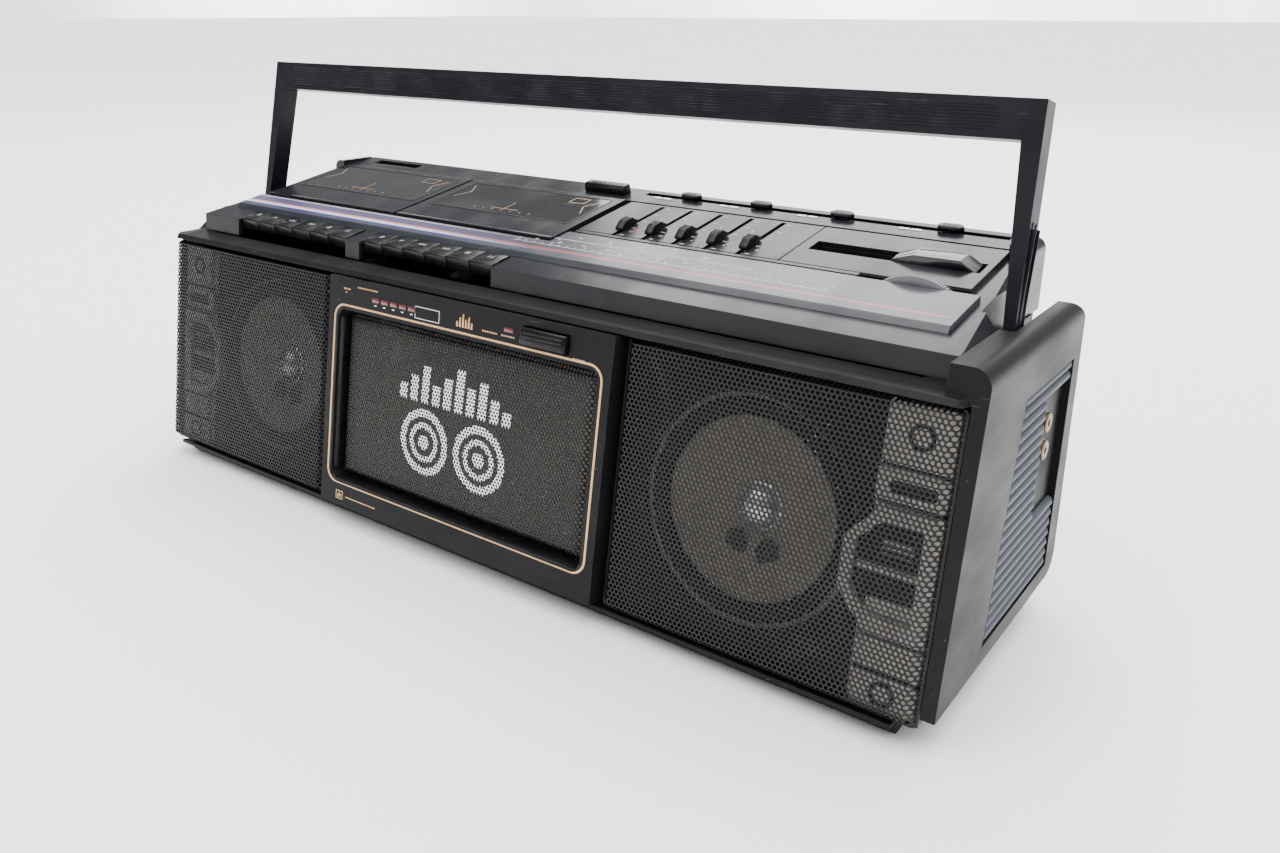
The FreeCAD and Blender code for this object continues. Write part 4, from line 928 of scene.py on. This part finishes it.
class STEREO_OT_speakers(StereoOperator, bpy.types.Operator):
    """Cones, surrounds, dust caps and the painted shadows of the caps."""
    bl_idname = "stereo.speakers"
    bl_label = "Speakers"

    def make(self):
        """Each driver's front, set just in front of its basket."""
        places = [(label, x, 47.5) for label, x in DRIVERS.items()] + [("woofer", 0.0, 53.5)]
        for label, x, radius in places:
            centre = (x, 0, DRIVER_HEIGHT)
            cone = Maker()
            cone.turned([(11.0, 27.0), (24.0, 22.5), (36.0, 18.6), (radius, 15.4), (radius, 16.2),
                         (36.0, 19.4), (24.0, 23.3), (11.0, 27.8)], centre, "y", 72)
            cone.finish(f"{label}_cone", "cabinet", "driver_paper", FRONT, (), "driver_paper")
            roll = Maker()
            profile = [(radius + 5.0 - 5.2 * math.cos(a), 15.6 - 4.4 * math.sin(a))
                       for a in map(math.radians, range(0, 181, 20))]
            profile += [(radius + 12.5, 14.8), (radius + 12.5, 12.6), (radius + 14.0, 12.6),
                        (radius + 14.0, 17.6), (radius - 1.0, 17.6)]
            roll.turned(profile, centre, "y", 72)
            hole = radius + 12.5
            roll.turned([(hole - 0.6, 9.7), (hole + 2.6, 9.7), (hole + 2.6, 9.96), (hole - 0.1, 9.96),
                         (hole - 0.1, 12.9), (hole - 0.6, 12.9)], centre, "y", 72)
            roll.finish(f"{label}_surround", "cabinet", "rubber_surround", FRONT, (), "driver_paper")
            # Painted shadow: two dark discs on the cone just below the dust cap stand for the shadow it
            # casts.
            cap_shadows = Maker()
            for dx, dz, size in ((-9.0, -21.0, 6.0), (9.5, -22.5, 6.4)):
                reach = math.hypot(dx, dz)
                depth = 0.30 * (reach - 20)
                cap_shadows.prism(circle(x + dx, DRIVER_HEIGHT + dz, size, 24, 1.25), 22.9 - depth - 0.5,
                            23.6 - depth, "y")
            cap_shadows.finish(f"{label}_cone_blots", "cabinet", "blot_paper", FRONT, (), "driver_paper", 0)
            dome = Maker()
            crown = [(11.8 * math.sin(a), 24.4 - 7.4 * math.cos(a))
                     for a in map(math.radians, range(15, 91, 15))]
            dome.turned([(0, 17.0), *crown, (13.0, 25.0), (13.0, 26.2), (0, 26.2)], centre, "y", 40)
            dome.finish(f"{label}_dust_cap", "cabinet", "cap_foil", FRONT, (), "jack_metal")


class STEREO_OT_trim_strips(StereoOperator, bpy.types.Operator):
    """The pale trim columns beside the side speakers."""
    bl_idname = "stereo.trim_strips"
    bl_label = "Trim strips"

    def make(self):
        """Ringed blocks at the ends, a slotted block, and a horn with six sides and its bars."""
        for label, side in SIDES.items():
            pale, dark = Maker(), Maker()
            pale.block(span(side, 255, 290), (8.6, 9.9), (14.5, 158.5), 0.4)
            for near, low, high in ((258, 128.5, 157.5), (255, 111.5, 126.3), (259, 31.5, 46.5),
                                    (257, 13.5, 29.5)):
                pale.block(span(side, near, 289), (5.8, 9), (low, high), 0.9)
            horn = [(289, 109.0), (262, 109.0), (256, 104), (244, 91), (244, 66), (251, 58), (260, 48.5),
                    (289, 48.5)]
            mouth = [(281, 101.5), (262, 101.5), (258, 99), (250, 90), (250, 68), (255, 62), (262, 57),
                     (281, 57)]
            if side < 0:
                horn, mouth = [(-a, b) for a, b in horn], [(-a, b) for a, b in mouth]
            pale.ring(horn, mouth, 5.0, 9.9)
            pale.block(span(side, 251, 281), (6.6, 8.4), (76.5, 80.5), 0.5)
            pale.block(span(side, 258, 281), (6.9, 8.4), (58.5, 65.5), 0.5)
            for height in (143.0, 21.5):
                dark.ring(circle(side * 273, height, 6.3, 32), circle(side * 273, height, 4.4, 32), 5.5, 6.4)
            dark.block(span(side, 262, 284), (5.5, 7), (116.0, 121.5), 0.6)
            dark.ring(rounded(span(side, 262, 284), (116.0, 121.5), 2.0, 3),
                      rounded(span(side, 263, 283), (117.0, 120.5), 1.5, 3), 5.3, 5.8)
            dark.prism(mouth, 8.1, 8.75, "y")
            for level in (30.5, 47.5, 110.2, 127.4):
                dark.block(span(side, 256, 289), (8.1, 8.75), (level - 0.9, level + 0.9))
            for level in (86.0, 88.8, 91.6):
                pale.block(span(side, 262, 277), (7.0, 8.4), (level, level + 1.1), 0.3)
            pale.finish(f"{label}_trim_strip", "cabinet", "trim_plastic", FRONT,
                        [f"{label}_tweeter_strip"], "black_plastic")
            dark.finish(f"{label}_trim_recess", "cabinet", "rubber_surround", FRONT, (), "black_plastic")


class STEREO_OT_bezel_marks(StereoOperator, bpy.types.Operator):
    """Level lamps, lines and the push button of the centre panel."""
    bl_idname = "stereo.bezel_marks"
    bl_label = "Centre panel"

    def make(self):
        """Lenses in small frames, thin printed marks and a ribbed button."""
        face = BEZEL_FACE
        lens, frames, marks, gold = Maker(), Maker(), Maker(), Maker()
        for i in range(5):
            left = -72.5 + 7.9 * i
            lens.block((left, left + 6.4), (face - 0.15, face + 0.8), (148.2, 151.0), 0.25)
            marks.block((left + 2.2, left + 4.2), (face - 0.06, face + 0.2), (146.2, 146.9))
            frames.ring(rounded((left - 0.4, left + 6.8), (147.8, 151.4), 0.6, 2),
                        rounded((left, left + 6.4), (148.2, 151.0), 0.4, 2), face - 0.3, face + 0.2)
        lens.block((36.0, 43.0), (face - 0.15, face + 0.8), (149.3, 151.8), 0.25)
        frames.ring(rounded((35.5, 43.5), (148.8, 152.3), 0.6, 2),
                    rounded((36.0, 43.0), (149.3, 151.8), 0.4, 2), face - 0.3, face + 0.2)
        box = [(-34.5, 145.2), (-14.5, 145.2), (-14.5, 152.0), (-34.5, 152.0)]
        marks.line(box, 0.35, face - 0.06, face + 0.2, True, "y")
        step = 1.7
        for left, right, level in ((-99, -92, 152.6), (-97, -94, 150.4), (-86, -66, 154.8),
                                   (86, 95, 143.0), (20, 33, 146.6), (34.5, 46, 146.6)):
            for i in range(int((right - left) / step)):
                gold.block((left + i * step, left + i * step + 1.0), (face - 0.06, face + 0.2),
                           (level, level + 0.9))
        for i, tall in enumerate((3.2, 5.6, 7.6, 5.0, 6.6, 3.6)):
            gold.block((-0.5 + 2.3 * i, 0.8 + 2.3 * i), (face - 0.1, face + 0.2), (146.0, 146.0 + tall), 0.2)
        badge = [(-97, 18.0), (-91, 18.0), (-91, 23.0), (-97, 23.0)]
        gold.line(badge, 0.5, face - 0.06, face + 0.2, True, "y")
        for i, tall in enumerate((1.6, 3.0, 2.2)):
            gold.block((-95.9 + 1.4 * i, -95.1 + 1.4 * i), (face - 0.06, face + 0.2), (19.0, 19.0 + tall))
        gold.block((-88, -60), (face - 0.06, face + 0.2), (20.0, 20.6))
        lens.finish("level_lamps", "cabinet", "red_lens", FRONT, (), "pointer_plastic")
        frames.finish("level_frames", "cabinet", "black_plastic", FRONT, (), "black_plastic")
        marks.finish("panel_print", "cabinet", "pale_ink", FRONT, (), "charcoal_plastic")
        gold.finish("panel_gold_print", "cabinet", "gold_ink", FRONT, (), "charcoal_plastic")
        button = Maker()
        button.prism([(face - 3.9, 145.4), (face - 3.0, 154.6), (face + 4.9, 154.6), (face + 4.9, 145.4)],
                     50.7, 82.3, "x", 0.8, 3)
        for i in range(3):
            button.block((53, 80), (face - 3.95 + 0.2 * i, face - 3.2),
                         (147.2 + 2.2 * i, 147.9 + 2.2 * i), 0.2)
        button.block((62.5, 70.5), (face + 4, face + 8), (148, 152), 0.3)
        button.finish("push_button_cap", "push_button", "black_plastic", FRONT, ["push_button"],
                      "black_plastic")


class STEREO_OT_deck_marks(StereoOperator, bpy.types.Operator):
    """Printed scale, figures and lines of the deck and the cassette doors."""
    bl_idname = "stereo.deck_marks"
    bl_label = "Deck marks"

    def make(self):
        """Ticks and figures on the scale and beside the sliders, and the floor of the selector's slot."""
        marks, red, dark = Maker(), Maker(), Maker()
        for i in range(33):
            x = -8 + 6.4 * i
            tall = 3.6 if i % 4 == 0 else 1.8
            marks.block((x, x + 0.35), (-11.5, -11.5 + tall), INK_LEVELS)
            if i % 2 == 0:
                marks.block((x, x + 0.35), (-3.0, -1.6), INK_LEVELS)
        marks.line([(-10, -12.0), (200, -12.0)], 0.3, *INK_LEVELS)
        marks.line([(-10, -0.9), (150, -0.9)], 0.3, *INK_LEVELS)
        for x in (x0 * 21.5 + 44.5 for x0 in range(5)):
            for v in (18, 30, 42, 54, 66):
                marks.block((x + 3.4, x + 6.4), (v - 0.18, v + 0.18), INK_LEVELS)
        for x in (46, 96, 150, 214):
            for step in (0, 7.2):
                marks.block((x - 19 + step, x - 13 + step), (82.2, 84.6), (-0.02, 0.35), 0.1)
        figures = [(str(n), 2.6, (x, -6.6, 0)) for n, x in
                   zip((54, 60, 70, 80, 100, 120, 160), range(4, 130, 18))]
        figures += [(str(n), 2.6, (x, 3.6, 0)) for n, x in
                    zip((88, 92, 96, 100, 104, 108), range(8, 150, 22))]
        figures += [(n, 2.6, (x, -6.6, 0)) for n, x in zip(("1", "2", "3", "4"), range(146, 220, 18))]
        figures += [(n, 2.4, (44.5 + 21.5 * i + 7.5, 13.2 + 11, 0))
                    for i, n in enumerate(("0.1", "0.3", "1", "3", "10"))]
        for text, size, place in figures:
            data = lettering(text, size, (place[0], place[1], 0.03))
            marks.mesh.from_mesh(data)
            bpy.data.meshes.remove(data)
        marks.finish("deck_print", "cabinet", "pale_ink", DECK, (), "deck_plastic", 0)
        for i in range(4):
            x = 52 + 21.5 * i
            red.line([(x, 25 + 9 * math.sin(i)), (x + 9, 38), (x + 3, 52)], 0.7, *INK_LEVELS)
        red.finish("deck_red_print", "cabinet", "red_ink", DECK, (), "deck_plastic", 0)
        dark.block((164.0, 202.0), (37.0, 49.5), (-9.5, -8.5), 0.2)
        dark.finish("dial_lens", "cabinet", "dark_lens", DECK, (), "smoked_window")
        for label, centre in DOOR_CENTRES.items():
            lines = Maker()
            top = 1.21
            lines.line([(centre - 56, 60), (centre - 50, 49), (centre - 56, 38)], 0.5, top, top + 0.06)
            lines.line([(centre + 56, 60), (centre + 50, 49), (centre + 56, 38)], 0.5, top, top + 0.06)
            lines.line([(centre - 12, 28), (centre + 12, 28)], 0.4, top, top + 0.06)
            lines.line([(centre, 26), (centre, 40)], 0.4, top, top + 0.06)
            lines.line([(centre + 34, 54), (centre + 46, 54), (centre + 46, 62), (centre + 34, 62)], 0.4,
                       top, top + 0.06, True)
            for i in range(7):
                lines.block((centre - 24 + 8 * i, centre - 23.6 + 8 * i), (24, 26), (top, top + 0.06))
            lines.finish(f"{label}_window_print", f"{label}_door", "gold_ink", DECK, (), "smoked_window", 0)
            lip = Maker()
            lip.block((centre - 67.6, centre + 67.6), (-4.9, -3.1), (1.15, 1.55), 0.15)
            lip.ring(rounded((centre - 61.6, centre + 61.6), (18.7, 66.6), 1.6, 3),
                     rounded((centre - 60.6, centre + 60.6), (19.7, 65.6), 1.2, 3), 1.1, 1.4, "z")
            lip.finish(f"{label}_door_trim", f"{label}_door", "black_plastic", DECK, (), "deck_plastic")


class STEREO_OT_keys(StereoOperator, bpy.types.Operator):
    """The twelve tape keys."""
    bl_idname = "stereo.keys"
    bl_label = "Keys"

    def make(self):
        """A cap with a rolled front edge, finger ridges and an embossed plain symbol."""
        top, front, rear, pitch = -2.0, -46.5, -31.0, 19.1
        for bank, start in KEY_BANKS.items():
            for index in range(6):
                x0, x1 = start + index * pitch + 0.4, start + (index + 1) * pitch - 0.4
                key = Maker()
                key.prism([(rear, top - 8), (rear, top - 0.05), (rear - 8.0, top), (front + 4.0, top - 0.35),
                           (front + 1.0, top - 0.1), (front + 0.1, top - 1.0), (front, top - 8)],
                          x0, x1, "x", 0.3, 2)
                middle, v = (x0 + x1) / 2, -37.0
                low, high = top - 0.3, top + 0.12
                arrow = [(-2.0, -1.6), (1.6, 0), (-2.0, 1.6)]
                shapes = {0: [circle(0, 0, 1.7, 16)], 1: [arrow],
                          2: [[(-a, b) for a, b in arrow], [(-a - 3.2, b) for a, b in arrow]],
                          3: [arrow, [(a + 3.2, b) for a, b in arrow]],
                          4: [[(-1.7, -1.7), (1.7, -1.7), (1.7, 1.7), (-1.7, 1.7)]],
                          5: [[(-2.0, -1.7), (-0.7, -1.7), (-0.7, 1.7), (-2.0, 1.7)],
                              [(0.7, -1.7), (2.0, -1.7), (2.0, 1.7), (0.7, 1.7)]]}[index]
                for shape in shapes:
                    key.prism([(middle + a, v + b) for a, b in shape], low, high, "z", 0, 1, 1)
                for step in range(3):
                    key.block((x0 + 1.6, x1 - 1.6), (front + 1.6 + 1.1 * step, front + 2.1 + 1.1 * step),
                              (top - 0.9, top - 0.05), 0.12)
                name = f"{bank}_key_{index + 1}"
                key.finish(f"{name}_cap", name, ["black_plastic", "grey_ink"], DECK, [name], "black_plastic")
        wells = Maker()
        for start in KEY_BANKS.values():
            for index in range(1, 6):
                x = start + index * pitch
                wells.block((x - 0.2, x + 0.2), (front + 2, rear), (-14, -7.5))
        wells.finish("key_dividers", "cabinet", "black_plastic", DECK, (), "deck_plastic")


class STEREO_OT_sliders(StereoOperator, bpy.types.Operator):
    """Slider knobs of the equaliser, the rear channel and the band selector."""
    bl_idname = "stereo.sliders"
    bl_label = "Sliders"

    def make(self):
        """Ridged caps, each in place of its plain block."""
        for index in range(5):
            name = f"eq_slider_{index + 1}"
            low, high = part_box(name)
            x = (low.x + high.x) / 2 / MM
            v = EQ_KNOB
            knob = Maker()
            knob.prism([(v - 8.5, 0.4), (v - 8.3, 2.4), (v - 5.6, 4.2), (v - 4.2, 5.3), (v + 3.4, 5.6),
                        (v + 5.2, 4.0), (v + 8.3, 2.6), (v + 8.5, 0.4)], x - 2.7, x + 2.7, "x", 0.6, 2)
            for step in range(4):
                spot = v - 3.0 + 1.7 * step
                knob.block((x - 2.5, x + 2.5), (spot - 0.35, spot + 0.35), (4.2, 5.8), 0.15)
            knob.block((x - 1.1, x + 1.1), (v - 4, v + 4), (-11.8, 1), 0.2)
            knob.finish(f"{name}_knob", name, "black_plastic", DECK, [name], "black_plastic")
        for name in ("volume", "balance", "treble", "bass"):
            low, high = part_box(f"{name}_slider")
            x = (low.x + high.x) / 2 / MM
            knob = Maker()
            knob.prism([(x - 8, 88.2), (x - 5.5, 84.7), (x + 5.5, 84.7), (x + 8, 88.2), (x + 5.5, 91.8),
                        (x - 5.5, 91.8)], 0.4, 3.6, "z", 1.1, 2)
            for step in range(5):
                spot = x - 3.6 + 1.8 * step
                knob.block((spot - 0.4, spot + 0.4), (85.9, 90.6), (3.2, 3.9), 0.2)
            knob.block((x - 3.8, x + 3.8), (86.1, 89.9), (-9.8, 1), 0.3)
            knob.finish(f"{name}_knob", f"{name}_slider", "black_plastic", DECK, [f"{name}_slider"],
                        "black_plastic")
        low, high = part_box("band_selector")
        x0, x1 = low.x / MM, high.x / MM
        v0, v1 = SELECT_RUN
        wedge = Maker()
        wedge.prism([(x0, -3), (x0 + 1.0, 0.6), (x0 + 13, 4.6), (x1 - 8.5, 4.9), (x1 - 0.2, -0.5), (x1, -3)],
                    v0 + 0.5, v1 - 0.5, "y", 0.5, 2)
        wedge.block((x0 + 4, x1 - 4), (v0 + 2, v1 - 2), (-8, -2), 0.3)
        wedge.finish("band_knob", "band_selector", "gloss_black", DECK, ["band_selector"], "black_plastic")
        low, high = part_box("mode_button")
        block = Maker()
        x0, x1 = low.x / MM, high.x / MM
        block.prism([(80, -9), (80, 4.2), (81.6, 5.9), (87.6, 5.9), (88, -9)], x0, x1, "x", 0.5, 2)
        for step in range(8):
            spot = x0 + 4.5 + 3.4 * step
            block.block((spot, spot + 1.4), (82.4, 87.2), (5.5, 6.1), 0.2)
        block.finish("mode_button_cap", "mode_button", "black_plastic", DECK, ["mode_button"],
                     "black_plastic")
        low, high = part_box("tuning_wheel")
        x, v, radius = (low.x + high.x) / 2 / MM, 13.2, 30.0
        hub = 4.5 - radius
        wheel = Maker()
        wheel.turned([(0, -1.7), (radius - 6, -1.7), (radius - 4, -2.0), (radius - 1.0, -2.0),
                      (radius - 0.4, -1.5), (radius - 0.4, 1.5), (radius - 1.0, 2.0), (radius - 4, 2.0),
                      (radius - 6, 1.7), (0, 1.7)], (x, v, hub), "y", 120)
        wheel.turned([(0, -7.8), (2.5, -7.8), (2.5, 7.8), (0, 7.8)], (x, v, hub), "y", 20)
        ridge = Maker()
        ridge.prism([(-0.28, radius - 0.9), (0.28, radius - 0.9), (0.16, radius), (-0.16, radius)], -1.9, 1.9)
        data = growth("wheel").grow(ridge.data(Matrix()), {"Count": sizes().knurls, "Centre": (x, v, hub)},
                                    "tuning_wheel_plastic")
        wheel.mesh.from_mesh(data)
        wheel.finish("tuning_thumbwheel", "tuning_wheel", "tuning_wheel_plastic", DECK, ["tuning_wheel"],
                     "tuning_wheel_plastic")


class STEREO_OT_handle(StereoOperator, bpy.types.Operator):
    """Ribs along the grip and the raised outlines on the arms."""
    bl_idname = "stereo.handle"
    bl_label = "Handle"

    def make(self):
        """Fine ribs on the bar's front and a raised loop on each arm."""
        axes = BODY @ Matrix.Translation(PIVOT) @ Matrix.Rotation(-HANDLE_LEAN, 4, "X")
        rib = Maker()
        rib.prism([(-6.72, -0.42), (-7.05, 0.0), (-6.72, 0.42)], -262.0, 262.0, "x")
        ribs = Maker.of(stacked(rib.data(), 8, sizes().rib_pitch, 0.0985, "handle_plastic"))
        for side in (-1, 1):
            def arm(distance, side=side):
                """The arm's outer face at a distance from the pivot."""
                return side * (287.4 - (287.4 - 282.7) * (distance + 7) / 120.5)

            path = [(-3.2, 8), (-3.2, 55), (-2.2, 58), (2.2, 58), (3.2, 55), (3.2, 8)]
            for (a, b), (c, d) in zip(path, path[1:]):
                lows, highs = sorted((a, c)), sorted((b, d))
                x = sorted((arm(highs[0]), arm(highs[1])))
                ribs.block((x[0] - 0.3, x[1] + 0.35), (lows[0] - 0.35, lows[1] + 0.35),
                           (highs[0] - 0.35, highs[1] + 0.35), 0.15)
        ribs.finish("handle_ribs", "handle", "handle_plastic", axes, (), "handle_plastic")


class STEREO_OT_cheeks(StereoOperator, bpy.types.Operator):
    """Louvre fins and jack collars at the ends."""
    bl_idname = "stereo.cheeks"
    bl_label = "End cheeks"

    def make(self):
        """Half-round fins stretched between the seam and the rear, with a pocket at the right end."""
        pitch = sizes().fin_pitch
        count = int((147.0 - 30.9) * MM / pitch) + 1
        for label, side in SIDES.items():
            half = 0.47 * pitch / MM
            outline = [(side * (-0.3 - 3.4 * (1 - math.cos(a))), half * math.sin(a))
                       for a in map(math.radians, range(-90, 91, 22))]
            outline += [(side * -3.8, half), (side * -3.8, -half)]
            fin = Maker()
            fin.prism(outline, 0.0, 1000.0, "y")
            for vert in fin.mesh.verts:
                if abs(vert.co.x) <= 1.0:
                    vert.co.y += 17.6 if vert.co.y < 500 else -17.6
            pocket = 32.4 if side > 0 else 69.0
            fins = Maker.of(growth("fins").grow(fin.data(), {
                "Count": count, "Pitch": pitch, "Low": 30.9 * MM, "Front at Foot": (SEAM_FOOT + 5.6) * MM,
                "Front Slope": SEAM_SLOPE, "Rear": 69.5 * MM, "Pocket Front": pocket * MM,
                "Pocket Low": 71.0 * MM, "Pocket High": 137.0 * MM, "Face": side * END_FACE * MM},
                "fin_plastic"))
            fins.finish(f"{label}_louvre_fins", "cabinet", "fin_plastic", BODY, (), "charcoal_plastic", 50)
        collar = Maker()
        for height in (120.0, 105.0):
            centre = (0, 43.0, height)
            collar.turned([(1.85, 295.6), (5.9, 295.6), (5.9, 296.6), (5.15, 296.9), (5.15, 298.5),
                           (4.6, 298.9), (2.6, 298.9), (1.85, 298.5)], centre, "x", 36)
        collar.finish("jack_collars", "cabinet", "jack_metal", BODY, (), "jack_metal")


class STEREO_OT_rear(StereoOperator, bpy.types.Operator):
    """Screws, feet and the battery hatch's ribs."""
    bl_idname = "stereo.rear"
    bl_label = "Rear and base"

    def make(self):
        """Heads and pads are one shape each, set at their points."""
        self.scatter("case_screws", self.screw(), self.spots_of("case_screws"), "screw_black", "cabinet",
                     "zinc_steel")
        self.scatter("rubber_feet", self.pad(), self.spots_of("rubber_feet"), "foot_rubber", "cabinet",
                     "foot_rubber")
        low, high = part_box("battery_hatch")
        rib = Maker()
        left, right = low.x / MM + 14, high.x / MM - 14
        rib.prism([(left, 0), (right, 0), (right, 1.2), (left, 1.2)], high.y / MM - 1.2, high.y / MM - 0.02)
        hatch = Maker.of(stacked(rib.data(), 7, 3.0 * MM, low.z + 8 * MM, "charcoal_plastic"))
        hatch.finish("hatch_ribs", "battery_hatch", "charcoal_plastic", BODY, (), "charcoal_plastic", 0)

    def spots_of(self, node):
        """Spots for a node's screw heads or feet, set in from the edges of its box, in metres."""
        low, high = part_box(node)
        if node == "case_screws":
            zs = (low.z + 3.4 * MM, (low.z + high.z) / 2, high.z - 3.4 * MM)
            return [Vector((side * (high.x - 3.4 * MM), high.y, z)) for side in (-1, 1) for z in zs]
        return [Vector((x, y, low.z)) for x in (low.x + 10 * MM, high.x - 10 * MM)
                for y in (low.y + 10 * MM, high.y - 10 * MM)]

    def screw(self):
        """A pan head with a cross in it, facing the rear."""
        head = Maker()
        head.turned([(0, -1.8), (3.3, -1.8), (3.3, -0.9), (2.7, -0.3), (1.6, -0.05), (0, 0.0)], (0, 0, 0),
                    "y", 28)
        for a, b in (((-1.7, 1.7), (-0.3, 0.3)), ((-0.3, 0.3), (-1.7, 1.7))):
            head.block(a, (-0.2, 0.06), b, 0.05, 1, 1)
        return head

    def pad(self):
        """A round pad with a groove and a dished underside."""
        pad = Maker()
        pad.turned([(0, 0.4), (4.5, 0.4), (5.5, 0.0), (9.2, 0.0), (9.9, 0.6), (9.6, 1.1), (9.9, 1.5),
                    (9.9, 1.98), (0, 1.98)], (0, 0, 0), "z", 40)
        return pad

    def scatter(self, node, maker, spots, finish, body, slot):
        """One shape at each spot, in place of a node."""
        head = bpy.data.objects.new("head", maker.data())
        bpy.context.scene.collection.objects.link(head)
        points = bpy.data.meshes.new("points")
        points.from_pydata([tuple(s) for s in spots], [], [])
        data = growth("spots").grow(points, {"Head": head}, finish)
        bpy.data.objects.remove(head)
        settle(data, f"{node}_set", body, finish, [node])


# ------------------------------------------------------------------ stage
class STEREO_OT_stage(StereoOperator, bpy.types.Operator):
    """Pale floor, soft lights and the camera."""
    bl_idname = "stereo.stage"
    bl_label = "Stage"

    def make(self):
        """A seamless floor, three large soft lights, a surround and the camera."""
        plane = bpy.data.meshes.new("floor")
        edge = 30.0
        plane.from_pydata([(-edge, -edge, 0), (edge, -edge, 0), (edge, edge, 0), (-edge, edge, 0)], [],
                          [(0, 1, 2, 3)])
        p = Paint("floor_paint")
        cloud = p.noise(0.7, 2.0)
        plane.materials.append(p.done(Base_Color=p.mix((0.93, 0.93, 0.93, 1), (0.95, 0.95, 0.95, 1), cloud),
                                      Roughness=0.9))
        floor = bpy.data.objects.new("floor", plane)
        bpy.context.scene.collection.objects.link(floor)
        for name, place, aim, size, power, hue in (
                ("key_light", (-1.1, -2.0, 2.3), (0, 0, 0.1), 1.6, 46, (1, 0.985, 0.96)),
                ("side_light", (2.6, 0.2, 1.5), (0.1, 0, 0.1), 1.3, 10, (0.95, 0.975, 1)),
                ("top_light", (-0.6, 1.9, 2.2), (0, 0, 0.15), 2.4, 90, (1, 1, 1))):
            light = bpy.data.lights.new(name, "AREA")
            light.shape, light.size, light.energy, light.color = "SQUARE", size, power, hue
            lamp = bpy.data.objects.new(name, light)
            lamp.location = place
            lamp.rotation_euler = (Vector(aim) - Vector(place)).to_track_quat("-Z", "Y").to_euler()
            bpy.context.scene.collection.objects.link(lamp)
        bpy.context.scene.world = self.studio()
        lens = bpy.data.cameras.new("camera")
        lens.lens, lens.sensor_width, lens.sensor_fit = 29.84, 36.0, "HORIZONTAL"
        lens.shift_x, lens.shift_y = 0.0012, -0.0379
        lens.clip_start, lens.clip_end = 0.02, 100
        camera = bpy.data.objects.new("camera", lens)
        camera.location = CAMERA_PLACE
        yaw, pitch = CAMERA_YAW, CAMERA_PITCH
        forward = Vector((-math.sin(yaw) * math.cos(pitch), math.cos(yaw) * math.cos(pitch),
                          -math.sin(pitch)))
        turn = forward.to_track_quat("-Z", "Y").to_matrix() @ Matrix.Rotation(CAMERA_ROLL, 3, "Z")
        camera.rotation_euler = turn.to_euler()
        bpy.context.scene.collection.objects.link(camera)
        bpy.context.scene.camera = camera

    def studio(self):
        """A surround that is bright overhead and behind, and dim in front and at the right."""
        world = bpy.data.worlds.new("studio")
        world.use_nodes = True
        tree = world.node_tree

        def node(kind, inputs, settings=(), output=0):
            """A node of the surround."""
            return add_node(tree, kind, inputs, output, **dict(settings))

        way = node("ShaderNodeTexCoord", {}, (), "Generated")

        def toward(direction, low, high):
            """From 0 to 1 as the view turns to a direction."""
            along = node("ShaderNodeVectorMath", {0: way, 1: direction}, {"operation": "DOT_PRODUCT"},
                         "Value")
            return node("ShaderNodeMapRange", {"Value": along, "From Min": low, "From Max": high},
                        {"interpolation_type": "SMOOTHSTEP"})

        above = toward((0.10, 0.10, 1.0), 0.42, 0.98)
        behind = node("ShaderNodeMath", {0: toward((-0.59, 0.80, -1.6), 0.40, 0.85), 1: 0.8},
                      {"operation": "MULTIPLY"})
        lit = node("ShaderNodeMath", {0: above, 1: behind}, {"operation": "MAXIMUM"})
        cloud = node("ShaderNodeTexNoise", {"Vector": way, "Scale": 2.6, "Detail": 2.0})
        lit = node("ShaderNodeMath", {0: lit, 1: node("ShaderNodeMapRange", {
            "Value": cloud, "From Min": 0.35, "From Max": 0.65, "To Min": 0.45, "To Max": 1.2})},
            {"operation": "MULTIPLY"})
        strength = node("ShaderNodeMapRange", {"Value": lit, "To Min": 0.30, "To Max": 6.0})
        tree.links.new(strength, tree.nodes["Background"].inputs["Strength"])
        tree.nodes["Background"].inputs["Color"].default_value = (1, 1, 1, 1)
        return world


# ------------------------------------------------------------------ add-on
PIECES = (STEREO_OT_finishes, STEREO_OT_side_grilles, STEREO_OT_centre_grille, STEREO_OT_speakers,
          STEREO_OT_trim_strips, STEREO_OT_bezel_marks, STEREO_OT_deck_marks, STEREO_OT_keys,
          STEREO_OT_sliders, STEREO_OT_handle, STEREO_OT_cheeks, STEREO_OT_rear, STEREO_OT_stage)


class STEREO_PT_pieces(bpy.types.Panel):
    """Lists the sizes, the colours and the pieces."""
    bl_label = "Cassette Stereo"
    bl_idname = "STEREO_PT_pieces"
    bl_space_type = "VIEW_3D"
    bl_region_type = "UI"
    bl_category = "Stereo"

    def draw(self, context):
        """One row for each property and operator."""
        for group in (context.scene.stereo_sizes, context.scene.stereo_colours):
            for name in group.bl_rna.properties.keys():
                if name not in ("rna_type", "name"):
                    self.layout.prop(group, name)
        for piece in PIECES:
            self.layout.operator(piece.bl_idname)


CLASSES = (StereoSizes, StereoColours, *PIECES, STEREO_PT_pieces)


def register():
    """Adds the classes and the scene's properties."""
    for each in CLASSES:
        bpy.utils.register_class(each)
    bpy.types.Scene.stereo_sizes = PointerProperty(type=StereoSizes)
    bpy.types.Scene.stereo_colours = PointerProperty(type=StereoColours)


def unregister():
    """Removes them."""
    del bpy.types.Scene.stereo_colours
    del bpy.types.Scene.stereo_sizes
    for each in reversed(CLASSES):
        bpy.utils.unregister_class(each)


def main():
    """Registers the add-on and makes every piece in order."""
    register()
    for piece in PIECES:
        getattr(bpy.ops.stereo, piece.bl_idname.split(".")[1])()


if __name__ == "__main__":
    main()
